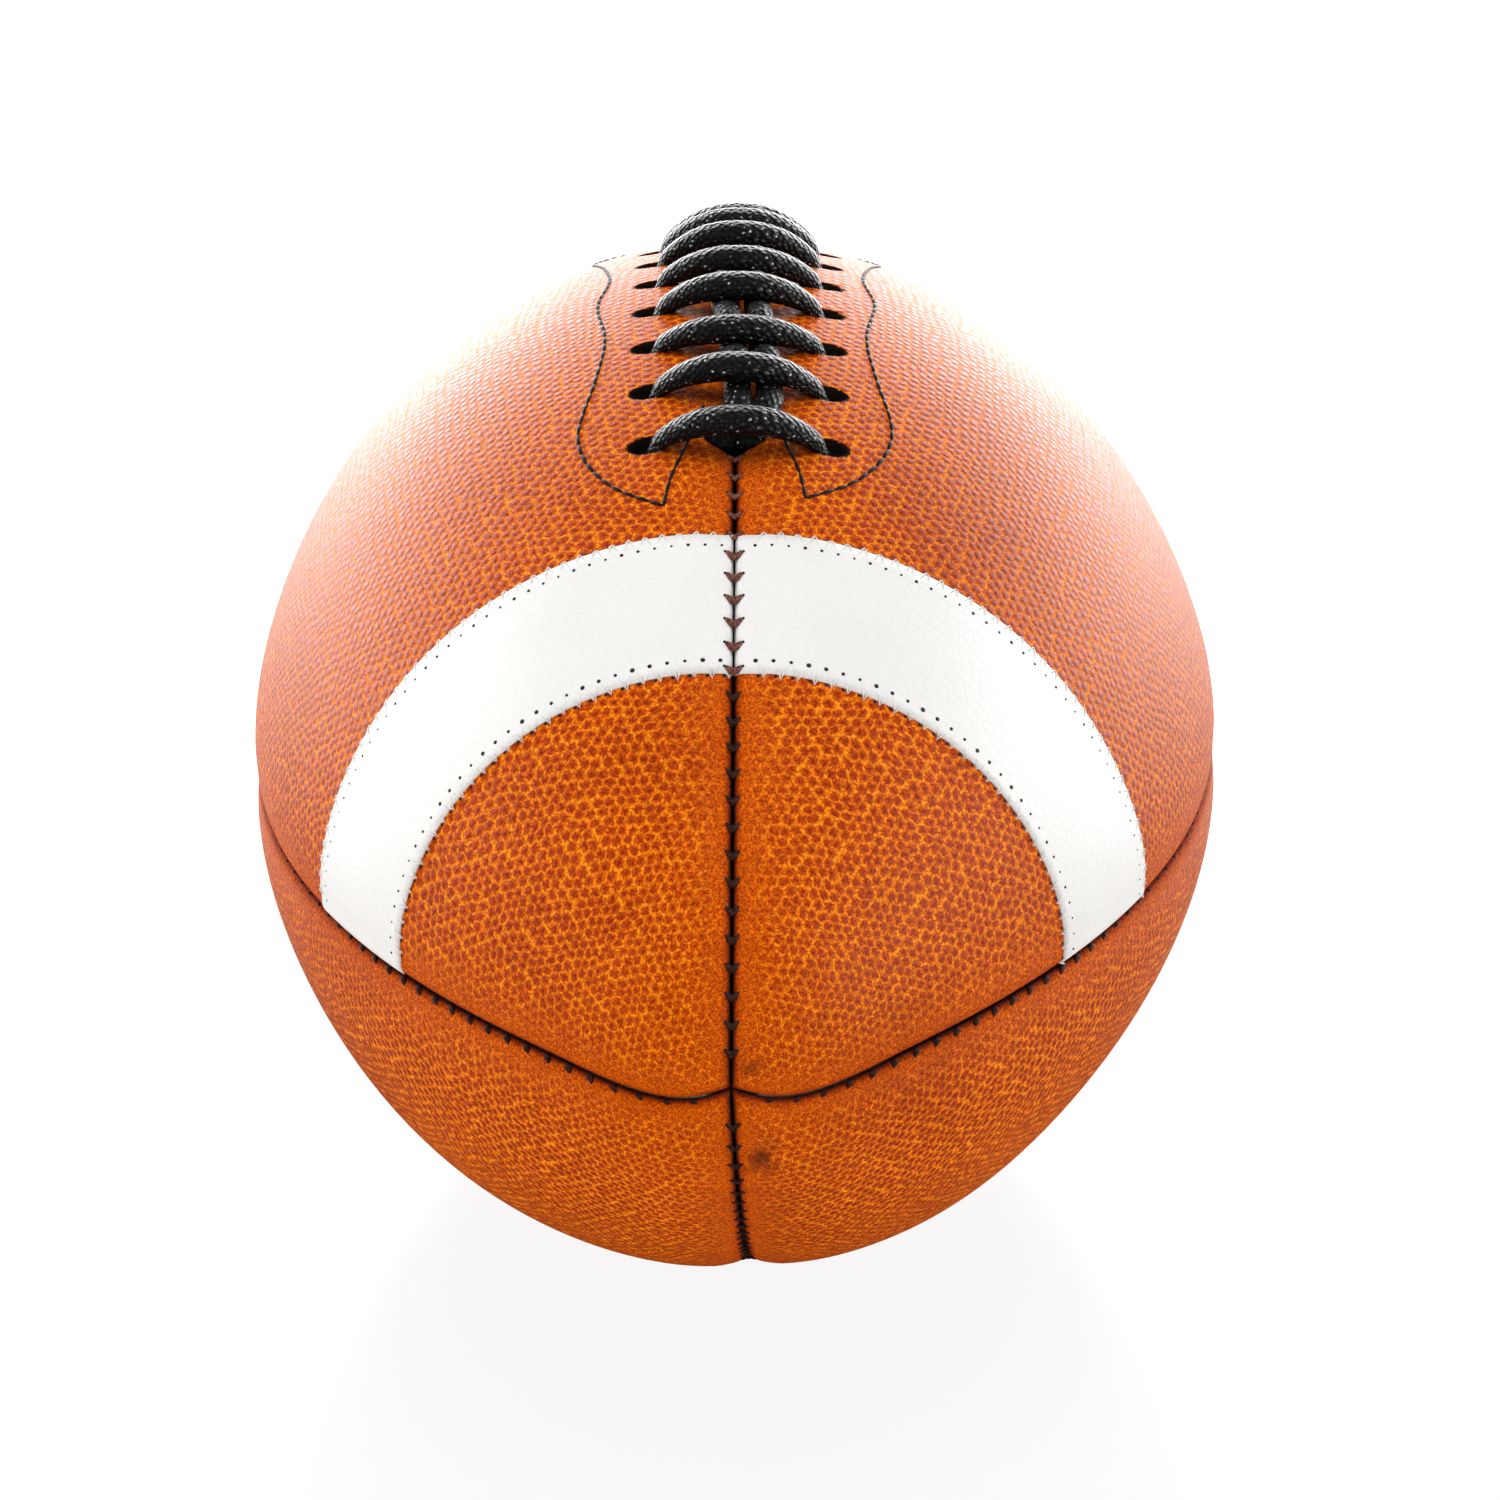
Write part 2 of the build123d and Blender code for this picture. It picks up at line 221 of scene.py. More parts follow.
def spot(across, station, height=0.0):
    """A point over the skin by its distance across from the top seam and its station, on the crown."""
    run = run_at(station)
    radius = outline(run)[1]
    return place(run, seam_angles["top"] + asin(max(-1.0, min(1.0, across / radius))), height)


def hole_depth_at(across, station):
    """How deep, from 0 to 1, a place near the top seam lies in a punched hole or in the end of the slit."""
    deepest = 0.0
    side = copysign(1.0, across)
    for bar in bar_stations:
        off_across = (across - ladder_shift - side * hole_across) / hole_half_width
        off_along = (station - bar) / hole_half_height
        if abs(off_along) < 2 and abs(off_across) < 2:
            deepest = max(deepest, 1 - smooth(*hole_edge, hypot(off_across, off_along)))
    for slit in (slit_front, slit_rear):
        inward = (station - slit) * (1 if slit < 0 else -1)
        if -3 * mm < inward < 12 * mm:
            half = slit_half + slit_opens * smooth(-1 * mm, 5 * mm, inward)
            open_here = 1 - smooth(*slit_edge, abs(across) / half)
            deepest = max(deepest, open_here * smooth(-1.2 * mm, 0.6 * mm, inward))
    return deepest


print("bars at", [round(bar / mm, 1) for bar in bar_stations])

# %% [markdown]
# ## Panels
# Each panel is a quarter of the ball. The outline is drawn once as a row of vertices and spun a quarter turn
# about the long axis, so the sheet has clean rows and columns. The columns then close up towards both seams,
# where the crease needs them, and the rows near the lacing are subdivided for the punched holes. A UV map in
# metres unrolls the panel ring by ring, each as a piece of a cone, so that the grain lies as it does on a flat
# hide. Towards the nose the map is drawn closer, because the hide there is squeezed and its grain is finer.

# %% Helpers that finish a mesh as a piece of the ball
panel_wall, even_share = 2.2 * mm, 0.35


def finish_piece(bm, name, material, replaces=()):
    """Makes a bmesh an object that rides on the ball and stands for its CAD nodes."""
    mesh = bpy.data.meshes.new(name)
    bm.to_mesh(mesh)
    bm.free()
    mesh.shade_smooth()
    piece = bpy.data.objects.new(name, mesh)
    bpy.context.scene.collection.objects.link(piece)
    piece.data.materials.append(material)
    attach(piece, "root")
    if replaces:
        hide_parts(*replaces)
    return piece


def face_outwards(bm):
    """Makes all faces of an open sheet on the ball point away from its long axis."""
    bmesh.ops.recalc_face_normals(bm, faces=bm.faces)
    bm.normal_update()
    outward = 0.0
    for face in bm.faces:
        centre = face.calc_center_median()
        outward += face.normal.dot(Vector((centre.x, 0, centre.z)))
    if outward < 0:
        bmesh.ops.reverse_faces(bm, faces=bm.faces)
    bm.normal_update()


def add_wall(piece, wall):
    """Gives a sheet its thickness, inwards from the skin."""
    solid = piece.modifiers.new("wall", "SOLIDIFY")
    solid.thickness, solid.offset = wall, -1


def spun_sheet(runs, columns):
    """A quarter turn of the outline through the given runs, before it is shaped."""
    bm = bmesh.new()
    row = []
    for run in runs:
        station, radius, _ = outline(run)
        row.append(bm.verts.new((0, station, radius)))
    strip = [bm.edges.new(pair) for pair in zip(row, row[1:])]
    bmesh.ops.spin(bm, geom=row + strip, axis=(0, 1, 0), cent=(0, 0, 0), angle=pi / 2, steps=columns)
    bmesh.ops.remove_doubles(bm, verts=bm.verts, dist=0.001 * mm)
    return bm


def seam_to_seam(first, last, run, share):
    """Angle at a share of the way between two seams, with the columns drawn up to both of them."""
    start, end = seam_angle(first, run), seam_angle(last, run)
    if end < start:
        end += 2 * pi
    gap = min(seam_half_gap / max(outline(run)[1], 0.1 * mm), 0.2)
    eased = even_share * share + (1 - even_share) * (0.5 - 0.5 * cos(pi * share))
    return start + gap + (end - start - 2 * gap) * eased


finer_grain, finer_reach = 0.3, 60 * mm
seam_fade = 6 * mm


def flat_place(run, off):
    """Where a place on a panel lies when the panel is unrolled as cones, drawn closer towards the nose."""
    _, radius, turn = outline(run)
    cone = max(abs(sin(turn)), 0.001)
    part = max(0.0, min(1.0, 1 - (half_run - abs(run)) / finer_reach))
    finer = 1 + finer_grain * smooth(0, 1, part)
    along = abs(run) + finer_grain * finer_reach * (part ** 3 - part ** 4 / 2)
    slant = finer * radius / cone
    return copysign(along + slant * (1 - cos(off * cone)), run), slant * sin(off * cone)


def lay_sheet(bm, first, last, rise):
    """Lays a spun quarter between two seams and writes its UV map, the seam attribute and the painted_shade
    attribute, which holds the shade painted into creases and slit ends.
    """
    uv_map = bm.loops.layers.uv.new("flat")
    seam_layer = bm.verts.layers.float.new("seam")
    painted_shade_layer = bm.verts.layers.float.new("painted_shade")
    along_layer = bm.verts.layers.float.new("along")
    flat = {}
    for vert in bm.verts:
        run, angle, _ = find(vert.co)
        angle = seam_to_seam(first, last, run, max(0.0, min(1.0, angle / (pi / 2))))
        height, painted_shade = rise(run, angle)
        middle = (seam_to_seam(first, last, run, 0) + seam_to_seam(first, last, run, 1)) / 2
        flat[vert] = flat_place(run, angle - middle)
        vert[seam_layer] = exp(-nearest_seam(run, angle)[0] / seam_fade)
        vert[painted_shade_layer], vert[along_layer] = painted_shade, run
        vert.co = place(run, angle, height)
    for face in bm.faces:
        for loop in face.loops:
            loop[uv_map].uv = flat[loop.vert]
    face_outwards(bm)


# %% [markdown]
# ## Materials
# The materials come before the pieces that wear them. The leather's grain is a field of rounded pebbles about
# 2 mm apart: each pebble is a dark red-brown, with a lighter orange net in the grooves between. One Voronoi
# pattern would give cells of every shape, but embossed pebbles stand in staggered rows, so two slightly shaken
# patterns are laid half a step apart and the nearer pebble counts. Near the seams and the nose, the hide is
# pulled smooth and the net fades into plain orange.

# %% Node helpers
def new_material(name):
    """An empty node material and its node tree."""
    material = bpy.data.materials.new(name)
    material.use_nodes = True
    return material, material.node_tree


def put(tree, socket, value):
    """Sets a node's input to a value, or links it from another node's output."""
    if isinstance(value, bpy.types.NodeSocket):
        tree.links.new(value, socket)
    else:
        socket.default_value = value


def node(tree, kind, inputs=None, **settings):
    """A node with its settings and its inputs."""
    made = tree.nodes.new("ShaderNode" + kind)
    for key, value in settings.items():
        setattr(made, key, value)
    for key, value in (inputs or {}).items():
        put(tree, made.inputs[key], value)
    return made


def ramp(tree, factor, stops):
    """A colour ramp through places and colours, where a plain number is a grey."""
    made = node(tree, "ValToRGB", {"Fac": factor})
    elements = made.color_ramp.elements
    for count, (spot_on_ramp, colour) in enumerate(stops):
        element = elements[count] if count < 2 else elements.new(spot_on_ramp)
        element.position = spot_on_ramp
        element.color = (*colour, 1) if isinstance(colour, tuple) else (colour, colour, colour, 1)
    return made.outputs["Color"]


def blend(tree, factor, first, second, mode="MIX"):
    """One colour mixed into another."""
    made = node(tree, "Mix", data_type="RGBA", blend_type=mode)
    for index, value in ((0, factor), (6, first), (7, second)):
        put(tree, made.inputs[index], (*value, 1) if isinstance(value, tuple) else value)
    return made.outputs[2]


def maths(tree, operation, *inputs, clamp=False):
    """A Math node's result."""
    return node(tree, "Math", dict(enumerate(inputs)), operation=operation, use_clamp=clamp).outputs[0]


def vectors(tree, operation, *inputs):
    """A Vector Math node's result, which is a number where the operation gives one."""
    made = node(tree, "VectorMath", dict(enumerate(inputs)), operation=operation)
    return made.outputs["Value" if operation in ("LENGTH", "DISTANCE", "DOT_PRODUCT") else "Vector"]


def noise(tree, at, scale, detail=2, dimensions="3D"):
    """A noise pattern's values."""
    inputs = {"Vector": at, "Scale": scale, "Detail": detail}
    return node(tree, "TexNoise", inputs, noise_dimensions=dimensions).outputs["Fac"]


def object_place(tree):
    return node(tree, "TexCoord").outputs["Object"]


def uv_place(tree, name):
    return node(tree, "UVMap", uv_map=name).outputs["UV"]


def attribute(tree, name):
    return node(tree, "Attribute", attribute_name=name).outputs["Fac"]


def bump(tree, height, strength, distance, under=None):
    """The normal that a height pattern gives, over another normal where there is one."""
    inputs = {"Height": height, "Strength": strength, "Distance": distance}
    if under is not None:
        inputs["Normal"] = under
    return node(tree, "Bump", inputs).outputs["Normal"]


def wear(tree, colour, roughness, shine, normal=None):
    """Gives a material's shader its colour, roughness, shine and small relief."""
    shader = tree.nodes["Principled BSDF"].inputs
    put(tree, shader["Base Color"], colour)
    put(tree, shader["Roughness"], roughness)
    put(tree, shader["Specular IOR Level"], shine)
    if normal is not None:
        put(tree, shader["Normal"], normal)


# %% Pebbles and punched holes
pebble_pitch, pebble_shake = 2.05 * mm, 0.18
row_pitch = pebble_pitch * sqrt(3)
between_rows = (40.5, 17.5, 0)
lacing_radius = 0.96 * girth_radius
hole_ragged = 0.12


def from_pebble(tree, flat, shift):
    """Distance, in pitches, from the nearest pebble of every second row."""
    at = vectors(tree, "MULTIPLY_ADD", flat, (1 / pebble_pitch, 1 / row_pitch, 0), shift)
    cells = {"Vector": at, "Scale": 1, "Randomness": pebble_shake}
    nearest = node(tree, "TexVoronoi", cells, voronoi_dimensions="2D").outputs["Position"]
    off = vectors(tree, "SUBTRACT", at, nearest)
    return vectors(tree, "LENGTH", vectors(tree, "MULTIPLY", off, (1, sqrt(3), 0)))


def punched_holes(tree, place_on, ragged):
    """1 in the punched holes of the lacing and 0 elsewhere, by the place on the ball: the mask for their painted
    shade.
    """
    at = node(tree, "SeparateXYZ", {0: place_on}).outputs
    middle = ladder_shift + lacing_radius * sin(seam_angles["top"])
    across = maths(tree, "ABSOLUTE", maths(tree, "SUBTRACT", at["X"], middle))
    across = maths(tree, "DIVIDE", maths(tree, "SUBTRACT", across, hole_across), hole_half_width * hole_rim)
    bars = maths(tree, "DIVIDE", maths(tree, "SUBTRACT", at["Y"], first_bar), bar_pitch)
    along = maths(tree, "SUBTRACT", bars, maths(tree, "ROUND", bars))
    along = maths(tree, "MULTIPLY", along, bar_pitch / hole_half_height / hole_rim)
    away = vectors(tree, "LENGTH", node(tree, "CombineXYZ", {0: across, 1: along}).outputs[0])
    away = maths(tree, "MULTIPLY_ADD", ragged, hole_ragged, away)
    within = maths(tree, "LESS_THAN", maths(tree, "ABSOLUTE", at["Y"]), -first_bar + bar_pitch / 2)
    upper = maths(tree, "MULTIPLY", within, maths(tree, "GREATER_THAN", at["Z"], 0.0))
    return maths(tree, "MULTIPLY", ramp(tree, away, [(0.9, 1), (1.0, 0)]), upper)


# %% Leather
stitch_pitch = 4.6 * mm
sway_scale, sway_reach = 90, (0.0025, 0.0025, 0)
cloud_scale, patch_scale, fibre_scale, fibre_share = 26, 300, 2100, 0.16
plain_from, plain_to, plain_share = 34 * mm, 6 * mm, 0.42
smudges = [
    ((4.4 * mm, -136.0 * mm, -14.2 * mm), 3.3 * mm),
    ((6.0 * mm, -136.6 * mm, -11.4 * mm), 2.5 * mm),
    ((3.9 * mm, -138.3 * mm, 5.0 * mm), 2.4 * mm),
]
smudge_ragged, smudge_soft, smudge_share = 6.0 * mm, 3.0 * mm, 0.75
# painted_shade_colour is the near black painted into creases, holes and slit ends.
smudge_colour, painted_shade_colour, dull_grey = (0.09, 0.016, 0.004), (0.006, 0.004, 0.003), (0.95, 0.95, 0.95)
leather_shine = 0.05


def leather_material(name):
    """Pebbled hide, plain near the seams and noses, with smudges, a painted reddish shade beside the seams, and
    painted near-black shade in the creases, holes and slit ends.
    """
    material, tree = new_material(name)
    flat = uv_place(tree, "flat")
    swaying = {"Vector": flat, "Scale": sway_scale, "Detail": 1}
    sway = node(tree, "TexNoise", swaying, noise_dimensions="2D").outputs["Color"]
    flat = vectors(tree, "MULTIPLY_ADD", sway, sway_reach, flat)
    away = maths(tree, "MINIMUM", from_pebble(tree, flat, (0, 0, 0)), from_pebble(tree, flat, between_rows))
    seam, run, place_on = attribute(tree, "seam"), attribute(tree, "along"), object_place(tree)
    cloud, patch = noise(tree, place_on, cloud_scale, 3), noise(tree, place_on, patch_scale, 1)
    fibre = noise(tree, flat, fibre_scale, 3, "2D")
    # Painted shade: what the vertices hold for the creases and slit ends, and the punched holes with a ragged rim.
    painted_shade = maths(tree, "MAXIMUM", attribute(tree, "painted_shade"), punched_holes(tree, place_on, fibre))
    ragged = maths(tree, "MULTIPLY_ADD", fibre, fibre_share, away)
    grained = ramp(tree, ragged, [
        (0.20, (0.36, 0.035, 0.0006)), (0.40, (0.51, 0.064, 0.0010)),
        (0.53, (0.73, 0.136, 0.0016)), (0.65, (0.88, 0.238, 0.0050)),
    ])
    plain = blend(tree, cloud, (0.63, 0.101, 0.001), (0.53, 0.071, 0.001))
    near_nose = node(tree, "MapRange", {
        "Value": maths(tree, "ABSOLUTE", run), "To Max": plain_share,
        "From Min": half_run - plain_from, "From Max": half_run - plain_to,
    }).outputs[0]
    smooth_share = maths(tree, "MAXIMUM", ramp(tree, seam, [(0.1, 0), (0.7, 0.85)]), near_nose)
    hide = blend(tree, smooth_share, grained, plain)
    for pattern, stops in (
        (fibre, [(0.32, (0.56, 0.42, 0.25)), (0.68, (1.40, 1.58, 1.4))]),
        (patch, [(0.3, (0.92, 0.88, 0.82)), (0.7, (1.07, 1.09, 1.05))]),
        (cloud, [(0.34, (0.86, 0.79, 0.66)), (0.52, 1)]),
        # Painted shade: a reddish dark band within about 2 mm of each seam, deepest at the seam.
        (seam, [(0.74, 1), (0.94, (0.62, 0.42, 0.3))]),
    ):
        hide = blend(tree, 1.0, hide, ramp(tree, pattern, stops), "MULTIPLY")
    for centre, reach in smudges:
        from_mark = maths(tree, "MULTIPLY_ADD", patch, smudge_ragged, vectors(tree, "DISTANCE", place_on, centre))
        mark = node(tree, "MapRange", {
            "Value": from_mark, "From Min": reach, "From Max": reach + smudge_soft,
            "To Min": smudge_share, "To Max": 0.0,
        }).outputs[0]
        hide = blend(tree, mark, hide, smudge_colour)
    # The painted shade turns the hide near black.
    hide = blend(tree, painted_shade, hide, painted_shade_colour)
    gloss = ramp(tree, ramp(tree, ragged, [(0.3, 1), (0.6, 0)]), [(0.0, 0.66), (1.0, 0.5)])
    dull = maths(tree, "MAXIMUM", painted_shade, ramp(tree, seam, [(0.55, 0), (0.85, 1)]))
    roughness = blend(tree, dull, gloss, dull_grey)
    calm = maths(tree, "SUBTRACT", 1.0, smooth_share, clamp=True)
    relief = maths(tree, "MULTIPLY", ramp(tree, away, [(0.1, 1), (0.56, 0)]), calm)
    wave = maths(tree, "SINE", maths(tree, "MULTIPLY", run, 2 * pi / stitch_pitch))
    pucker = maths(tree, "MULTIPLY", wave, ramp(tree, seam, [(0.3, 0), (0.75, 1)]))
    normal = bump(tree, pucker, 0.15, 0.25 * mm)
    normal = bump(tree, relief, 0.38, 0.3 * mm, normal)
    normal = bump(tree, fibre, 0.12, 0.1 * mm, normal)
    wear(tree, hide, roughness, leather_shine, normal)
    return material


tan_leather = leather_material("tan_leather")
print("leather nodes:", len(tan_leather.node_tree.nodes))

# %% White stripe
stripe_grain = 2.0 * mm


def stripe_material(name):
    """White sheet with a fine, faint grain, its grooves painted a shade darker."""
    material, tree = new_material(name)
    flat = uv_place(tree, "flat")
    cells = {"Vector": flat, "Scale": 1 / stripe_grain, "Randomness": 0.75}
    edge = node(tree, "TexVoronoi", cells, voronoi_dimensions="2D", feature="DISTANCE_TO_EDGE").outputs["Distance"]
    white = blend(tree, noise(tree, flat, 60, 3, "2D"), (0.84, 0.823, 0.803), (0.88, 0.865, 0.845))
    # Painted shade: the grain's grooves a few percent darker.
    white = blend(tree, 1.0, white, ramp(tree, edge, [(0.0, 0.962), (0.11, 1)]), "MULTIPLY")
    relief = ramp(tree, edge, [(0.0, 0), (0.16, 1)])
    wear(tree, white, 0.48, 0.3, bump(tree, relief, 0.2, 0.08 * mm))
    return material


white_stripe = stripe_material("white_stripe")
print("stripe nodes:", len(white_stripe.node_tree.nodes))

# %% Threads, lace and dark holes
thread_shine, common_shine = 0.08, 0.5


def thread_material(name, dark, light, roughness):
    """Twisted thread."""
    material, tree = new_material(name)
    twist = noise(tree, object_place(tree), 2400)
    colour = ramp(tree, twist, [(0.35, dark), (0.68, light)])
    wear(tree, colour, roughness, thread_shine, bump(tree, twist, 0.5, 0.1 * mm))
    return material


seam_thread = thread_material("seam_thread", (0.008, 0.003, 0.002), (0.06, 0.02, 0.014), 0.6)
reddish_thread = thread_material("reddish_thread", (0.07, 0.022, 0.016), (0.26, 0.1, 0.075), 0.7)
facing_thread = thread_material("facing_thread", (0.003, 0.0025, 0.0025), (0.018, 0.015, 0.014), 0.6)
cream_thread = thread_material("cream_thread", (0.74, 0.71, 0.66), (0.88, 0.86, 0.83), 0.7)


def lace_material(name):
    """A waxed woven lace: nearly black, with a pale fleck on some of the woven bumps."""
    material, tree = new_material(name)
    weave = uv_place(tree, "weave")
    along, against = (vectors(tree, "DOT_PRODUCT", weave, (1, way, 0)) for way in (1, -1))
    braid = node(tree, "CombineXYZ", {0: along, 1: against}).outputs[0]
    cells = {"Vector": braid, "Scale": 1.1, "Randomness": 0.55}
    bead = node(tree, "TexVoronoi", cells, voronoi_dimensions="2D").outputs
    fine = noise(tree, weave, 4, 3, "2D")
    black = blend(tree, fine, (0.0006, 0.0006, 0.0008), (0.005, 0.005, 0.006))
    frayed = maths(tree, "MULTIPLY_ADD", fine, 0.8, bead["Distance"])
    chance = node(tree, "SeparateColor", {"Color": bead["Color"]}).outputs[0]
    some = ramp(tree, chance, [(0.56, 0), (0.76, 0.1), (1.0, 1)])
    fleck = maths(tree, "MULTIPLY", ramp(tree, frayed, [(0.44, 1), (0.64, 0)]), some)
    colour = blend(tree, fleck, black, (0.72, 0.72, 0.73))
    dome = ramp(tree, bead["Distance"], [(0.0, 1), (0.65, 0)])
    wear(tree, colour, 0.5, 0.09, bump(tree, dome, 1.0, 0.3 * mm))
    return material


black_lace = lace_material("black_lace")


def hole_shade_material(name):
    """Painted shade for the inside of a needle hole: near black with a little noise."""
    material, tree = new_material(name)
    shade_noise = noise(tree, object_place(tree), 3000)
    wear(tree, ramp(tree, shade_noise, [(0.4, painted_shade_colour), (0.7, (0.02, 0.012, 0.009))]), 0.9, common_shine)
    return material


needle_hole_shade = hole_shade_material("needle_hole_shade")
print("materials:", len(bpy.data.materials))

# %% [markdown]
# ## Four panels, one recipe
# All four panels are cut alike on a real ball, so one function makes each of them between its two seams. It
# could be one quarter that is mirrored, but the lacing holes and the valve aren't the same on all. Next to its
# height, each vertex stores the shade painted on it in the creases and slit ends, and the leather turns dark
# there.

# %% The four panels
valve_angle, valve_reach, valve_sink = radians(135), 3.75 * mm, 1.3 * mm
valve_mouth = place(0, valve_angle)
panel_seams = {
    "upper_right": ("top", "right"), "lower_right": ("right", "bottom"),
    "lower_left": ("bottom", "left"), "upper_left": ("left", "top"),
}
# Reach of the shade painted into each crease: upright for the top and bottom seams, above and below for the two
# sides of a side seam.
seam_shades = {"upright": (0.2 * mm, 0.95 * mm), "above": (0.05 * mm, 0.42 * mm), "below": (0.1 * mm, 1.05 * mm)}
upright_dark, side_dark, side_least, side_fades = 0.95, 0.92, 0.12, (66 * mm, 98 * mm)
lacing_turn, lacing_end, slit_reach = 0.5, 70 * mm, 8 * mm
panel_rows, panel_columns, panel_cuts = 80, 54, 4
panel_steps = [count / panel_rows - 1 for count in range(2 * panel_rows + 1)]
panel_runs = [half_run * (0.8 * step + 0.2 * sin(pi / 2 * step)) for step in panel_steps]
fine_holes, fine_slit, fine_ends, fine_valve = (9 * mm, 21 * mm), 7 * mm, (40 * mm, 62 * mm), 8 * mm


def panel_rise(run, angle):
    """Height of the leather at the seams everywhere, the lacing's holes and the valve's mouth, and the shade
    painted into the creases and slit ends.
    """
    height = skin_rise(run, angle)
    station, radius, _ = outline(run)
    gap, seam, turn = nearest_seam(run, angle)
    # Painted shade in the crease: narrow beside the top and bottom seams; under a side seam wider on the lower
    # panel and fading towards the girth.
    painted_shade = upright_dark * (1 - smooth(*seam_shades["upright"], gap))
    if seam in ("left", "right"):
        below = turn > 0 if seam == "right" else turn < 0
        shade = smooth(*seam_shades["below" if below else "above"], gap)
        painted_shade = side_dark * (1 - shade) * (side_least + (1 - side_least) * smooth(*side_fades, abs(station)))
    off = turned_from(angle, seam_angles["top"])
    if abs(off) < lacing_turn and abs(station) < lacing_end:
        deep = hole_depth_at(radius * sin(off), station)
        height = max(height - deep * hole_depth, min(height, lowest_dent))
        # Shade painted into the ends of the slit; the punched holes get their painted shade in the leather
        # material.
        if radius * abs(sin(off)) < slit_reach:
            painted_shade = max(painted_shade, smooth(0.02, 0.25, deep))
    from_valve = (place(run, angle) - valve_mouth).length
    if from_valve < 3 * valve_reach:
        height -= valve_sink * (1 - smooth(valve_reach - 0.2 * mm, valve_reach + 0.5 * mm, from_valve))
    return height, painted_shade


def make_panel(name, first, last):
    bm = spun_sheet(panel_runs, panel_columns)
    near = []
    for edge in bm.edges:
        middle = (edge.verts[0].co + edge.verts[1].co) / 2
        run, angle, _ = find(middle)
        final = place(run, seam_to_seam(first, last, run, angle / (pi / 2)))
        from_seam = abs(final.x) if name.startswith("upper") else 1.0
        holes = fine_holes[0] < from_seam < fine_holes[1] and abs(final.y) < fine_ends[1]
        slits = from_seam < fine_slit and fine_ends[0] < abs(final.y) < fine_ends[1]
        if holes or slits or (final - valve_mouth).length < fine_valve:
            near.append(edge)
    if near:
        bmesh.ops.subdivide_edges(bm, edges=near, cuts=panel_cuts, use_grid_fill=True)
    lay_sheet(bm, first, last, panel_rise)
    piece = finish_piece(bm, f"leather_{name}", tan_leather, [f"panel_{name}"])
    add_wall(piece, panel_wall)
    print(piece.name, len(piece.data.polygons), "faces")


for panel, (first, last) in panel_seams.items():
    make_panel(panel, first, last)

# %% [markdown]
# ## Stripes
# Each white stripe is a thin strip sewn over an upper panel from seam to seam. It is spun from the same
# outline, laid between the same seams with the same crease, and lifted by 0.4 mm, so it follows the leather
# everywhere and its edges stand a little proud.

# %% The four stripes
stripe_near, stripe_far, stripe_lift, stripe_wall = 73.4 * mm, 97.5 * mm, 0.4 * mm, 0.7 * mm
stripe_rows, stripe_columns = 16, 72


def stripe_rise(run, angle):
    return skin_rise(run, angle) + stripe_lift, 0.0


for end, way in (("front", -1), ("rear", 1)):
    for side in ("left", "right"):
        start, stop = run_at(stripe_near), run_at(stripe_far)
        runs = [way * (start + (stop - start) * step / stripe_rows) for step in range(stripe_rows + 1)]
        bm = spun_sheet(runs, stripe_columns)
        lay_sheet(bm, *panel_seams[f"upper_{side}"], stripe_rise)
        piece = finish_piece(bm, f"white_stripe_{end}_{side}", white_stripe, [f"stripe_{end}_{side}"])
        add_wall(piece, stripe_wall)
        print(piece.name, len(piece.data.polygons), "faces")

# %% [markdown]
# ## Cords and threads
# A thread or a lace is a tube along a path. A flat grid is rolled round the path: its rows become rings, set
# square to the path with the ball's own outward direction as their top. That makes flat laces lie flat, keeps
# the weave straight along them, and gives the same helper for every stitch.

# %% A tube rolled from a grid along a path
weave_twist = 0.37


def lengths_along(points):
    """Length of a path from its start up to each of its points."""
    lengths = [0.0]
    for first, second in zip(points, points[1:]):
        lengths.append(lengths[-1] + (second - first).length)
    return lengths


def rings_along(points, sideways=None):
    """Sideways and outward direction of the ring at each point of a path over the ball."""
    frames = []
    for count, point in enumerate(points):
        before, after = points[max(0, count - 1)], points[min(len(points) - 1, count + 1)]
        tangent = (after - before).normalized()
        station = max(-nose_centre, min(nose_centre, point.y))
        outward = (point - Vector((0, station * 0.6, 0))).normalized()
        side = sideways - tangent * sideways.dot(tangent) if sideways else tangent.cross(outward)
        side.normalize()
        frames.append((side, side.cross(tangent).normalized()))
    return frames


def roll_tube(bm, points, width, thickness, sides, scale=None, weave=None, sideways=None):
    """Adds a closed tube along a path, as wide and thick as given, with an optional scale at each point."""
    made = bmesh.ops.create_grid(bm, x_segments=sides, y_segments=len(points) - 1, size=0.5)["verts"]
    frames = rings_along(points, sideways)
    lengths = lengths_along(points)
    uv_map = bm.loops.layers.uv.get("weave") or bm.loops.layers.uv.new("weave")
    faces = {face for vert in made for face in vert.link_faces}
    for face in faces:
        for loop in face.loops:
            row = round((loop.vert.co.y + 0.5) * (len(points) - 1))
            around = loop.vert.co.x + 0.5
            if weave:
                step, rows, start = weave
                loop[uv_map].uv = (start + lengths[row] / step, around * rows + weave_twist * start)
            else:
                loop[uv_map].uv = (0, around)
    for vert in made:
        row = round((vert.co.y + 0.5) * (len(points) - 1))
        turn = 2 * pi * (vert.co.x + 0.5)
        side, out = frames[row]
        size = scale[row] if scale else 1.0
        vert.co = points[row] + size * (cos(turn) * width / 2 * side + sin(turn) * thickness / 2 * out)
    bmesh.ops.remove_doubles(bm, verts=made, dist=0.002 * mm)
    rims = [edge for edge in {e for face in faces if face.is_valid for e in face.edges} if edge.is_boundary]
    if rims:
        bmesh.ops.holes_fill(bm, edges=rims, sides=sides + 1)


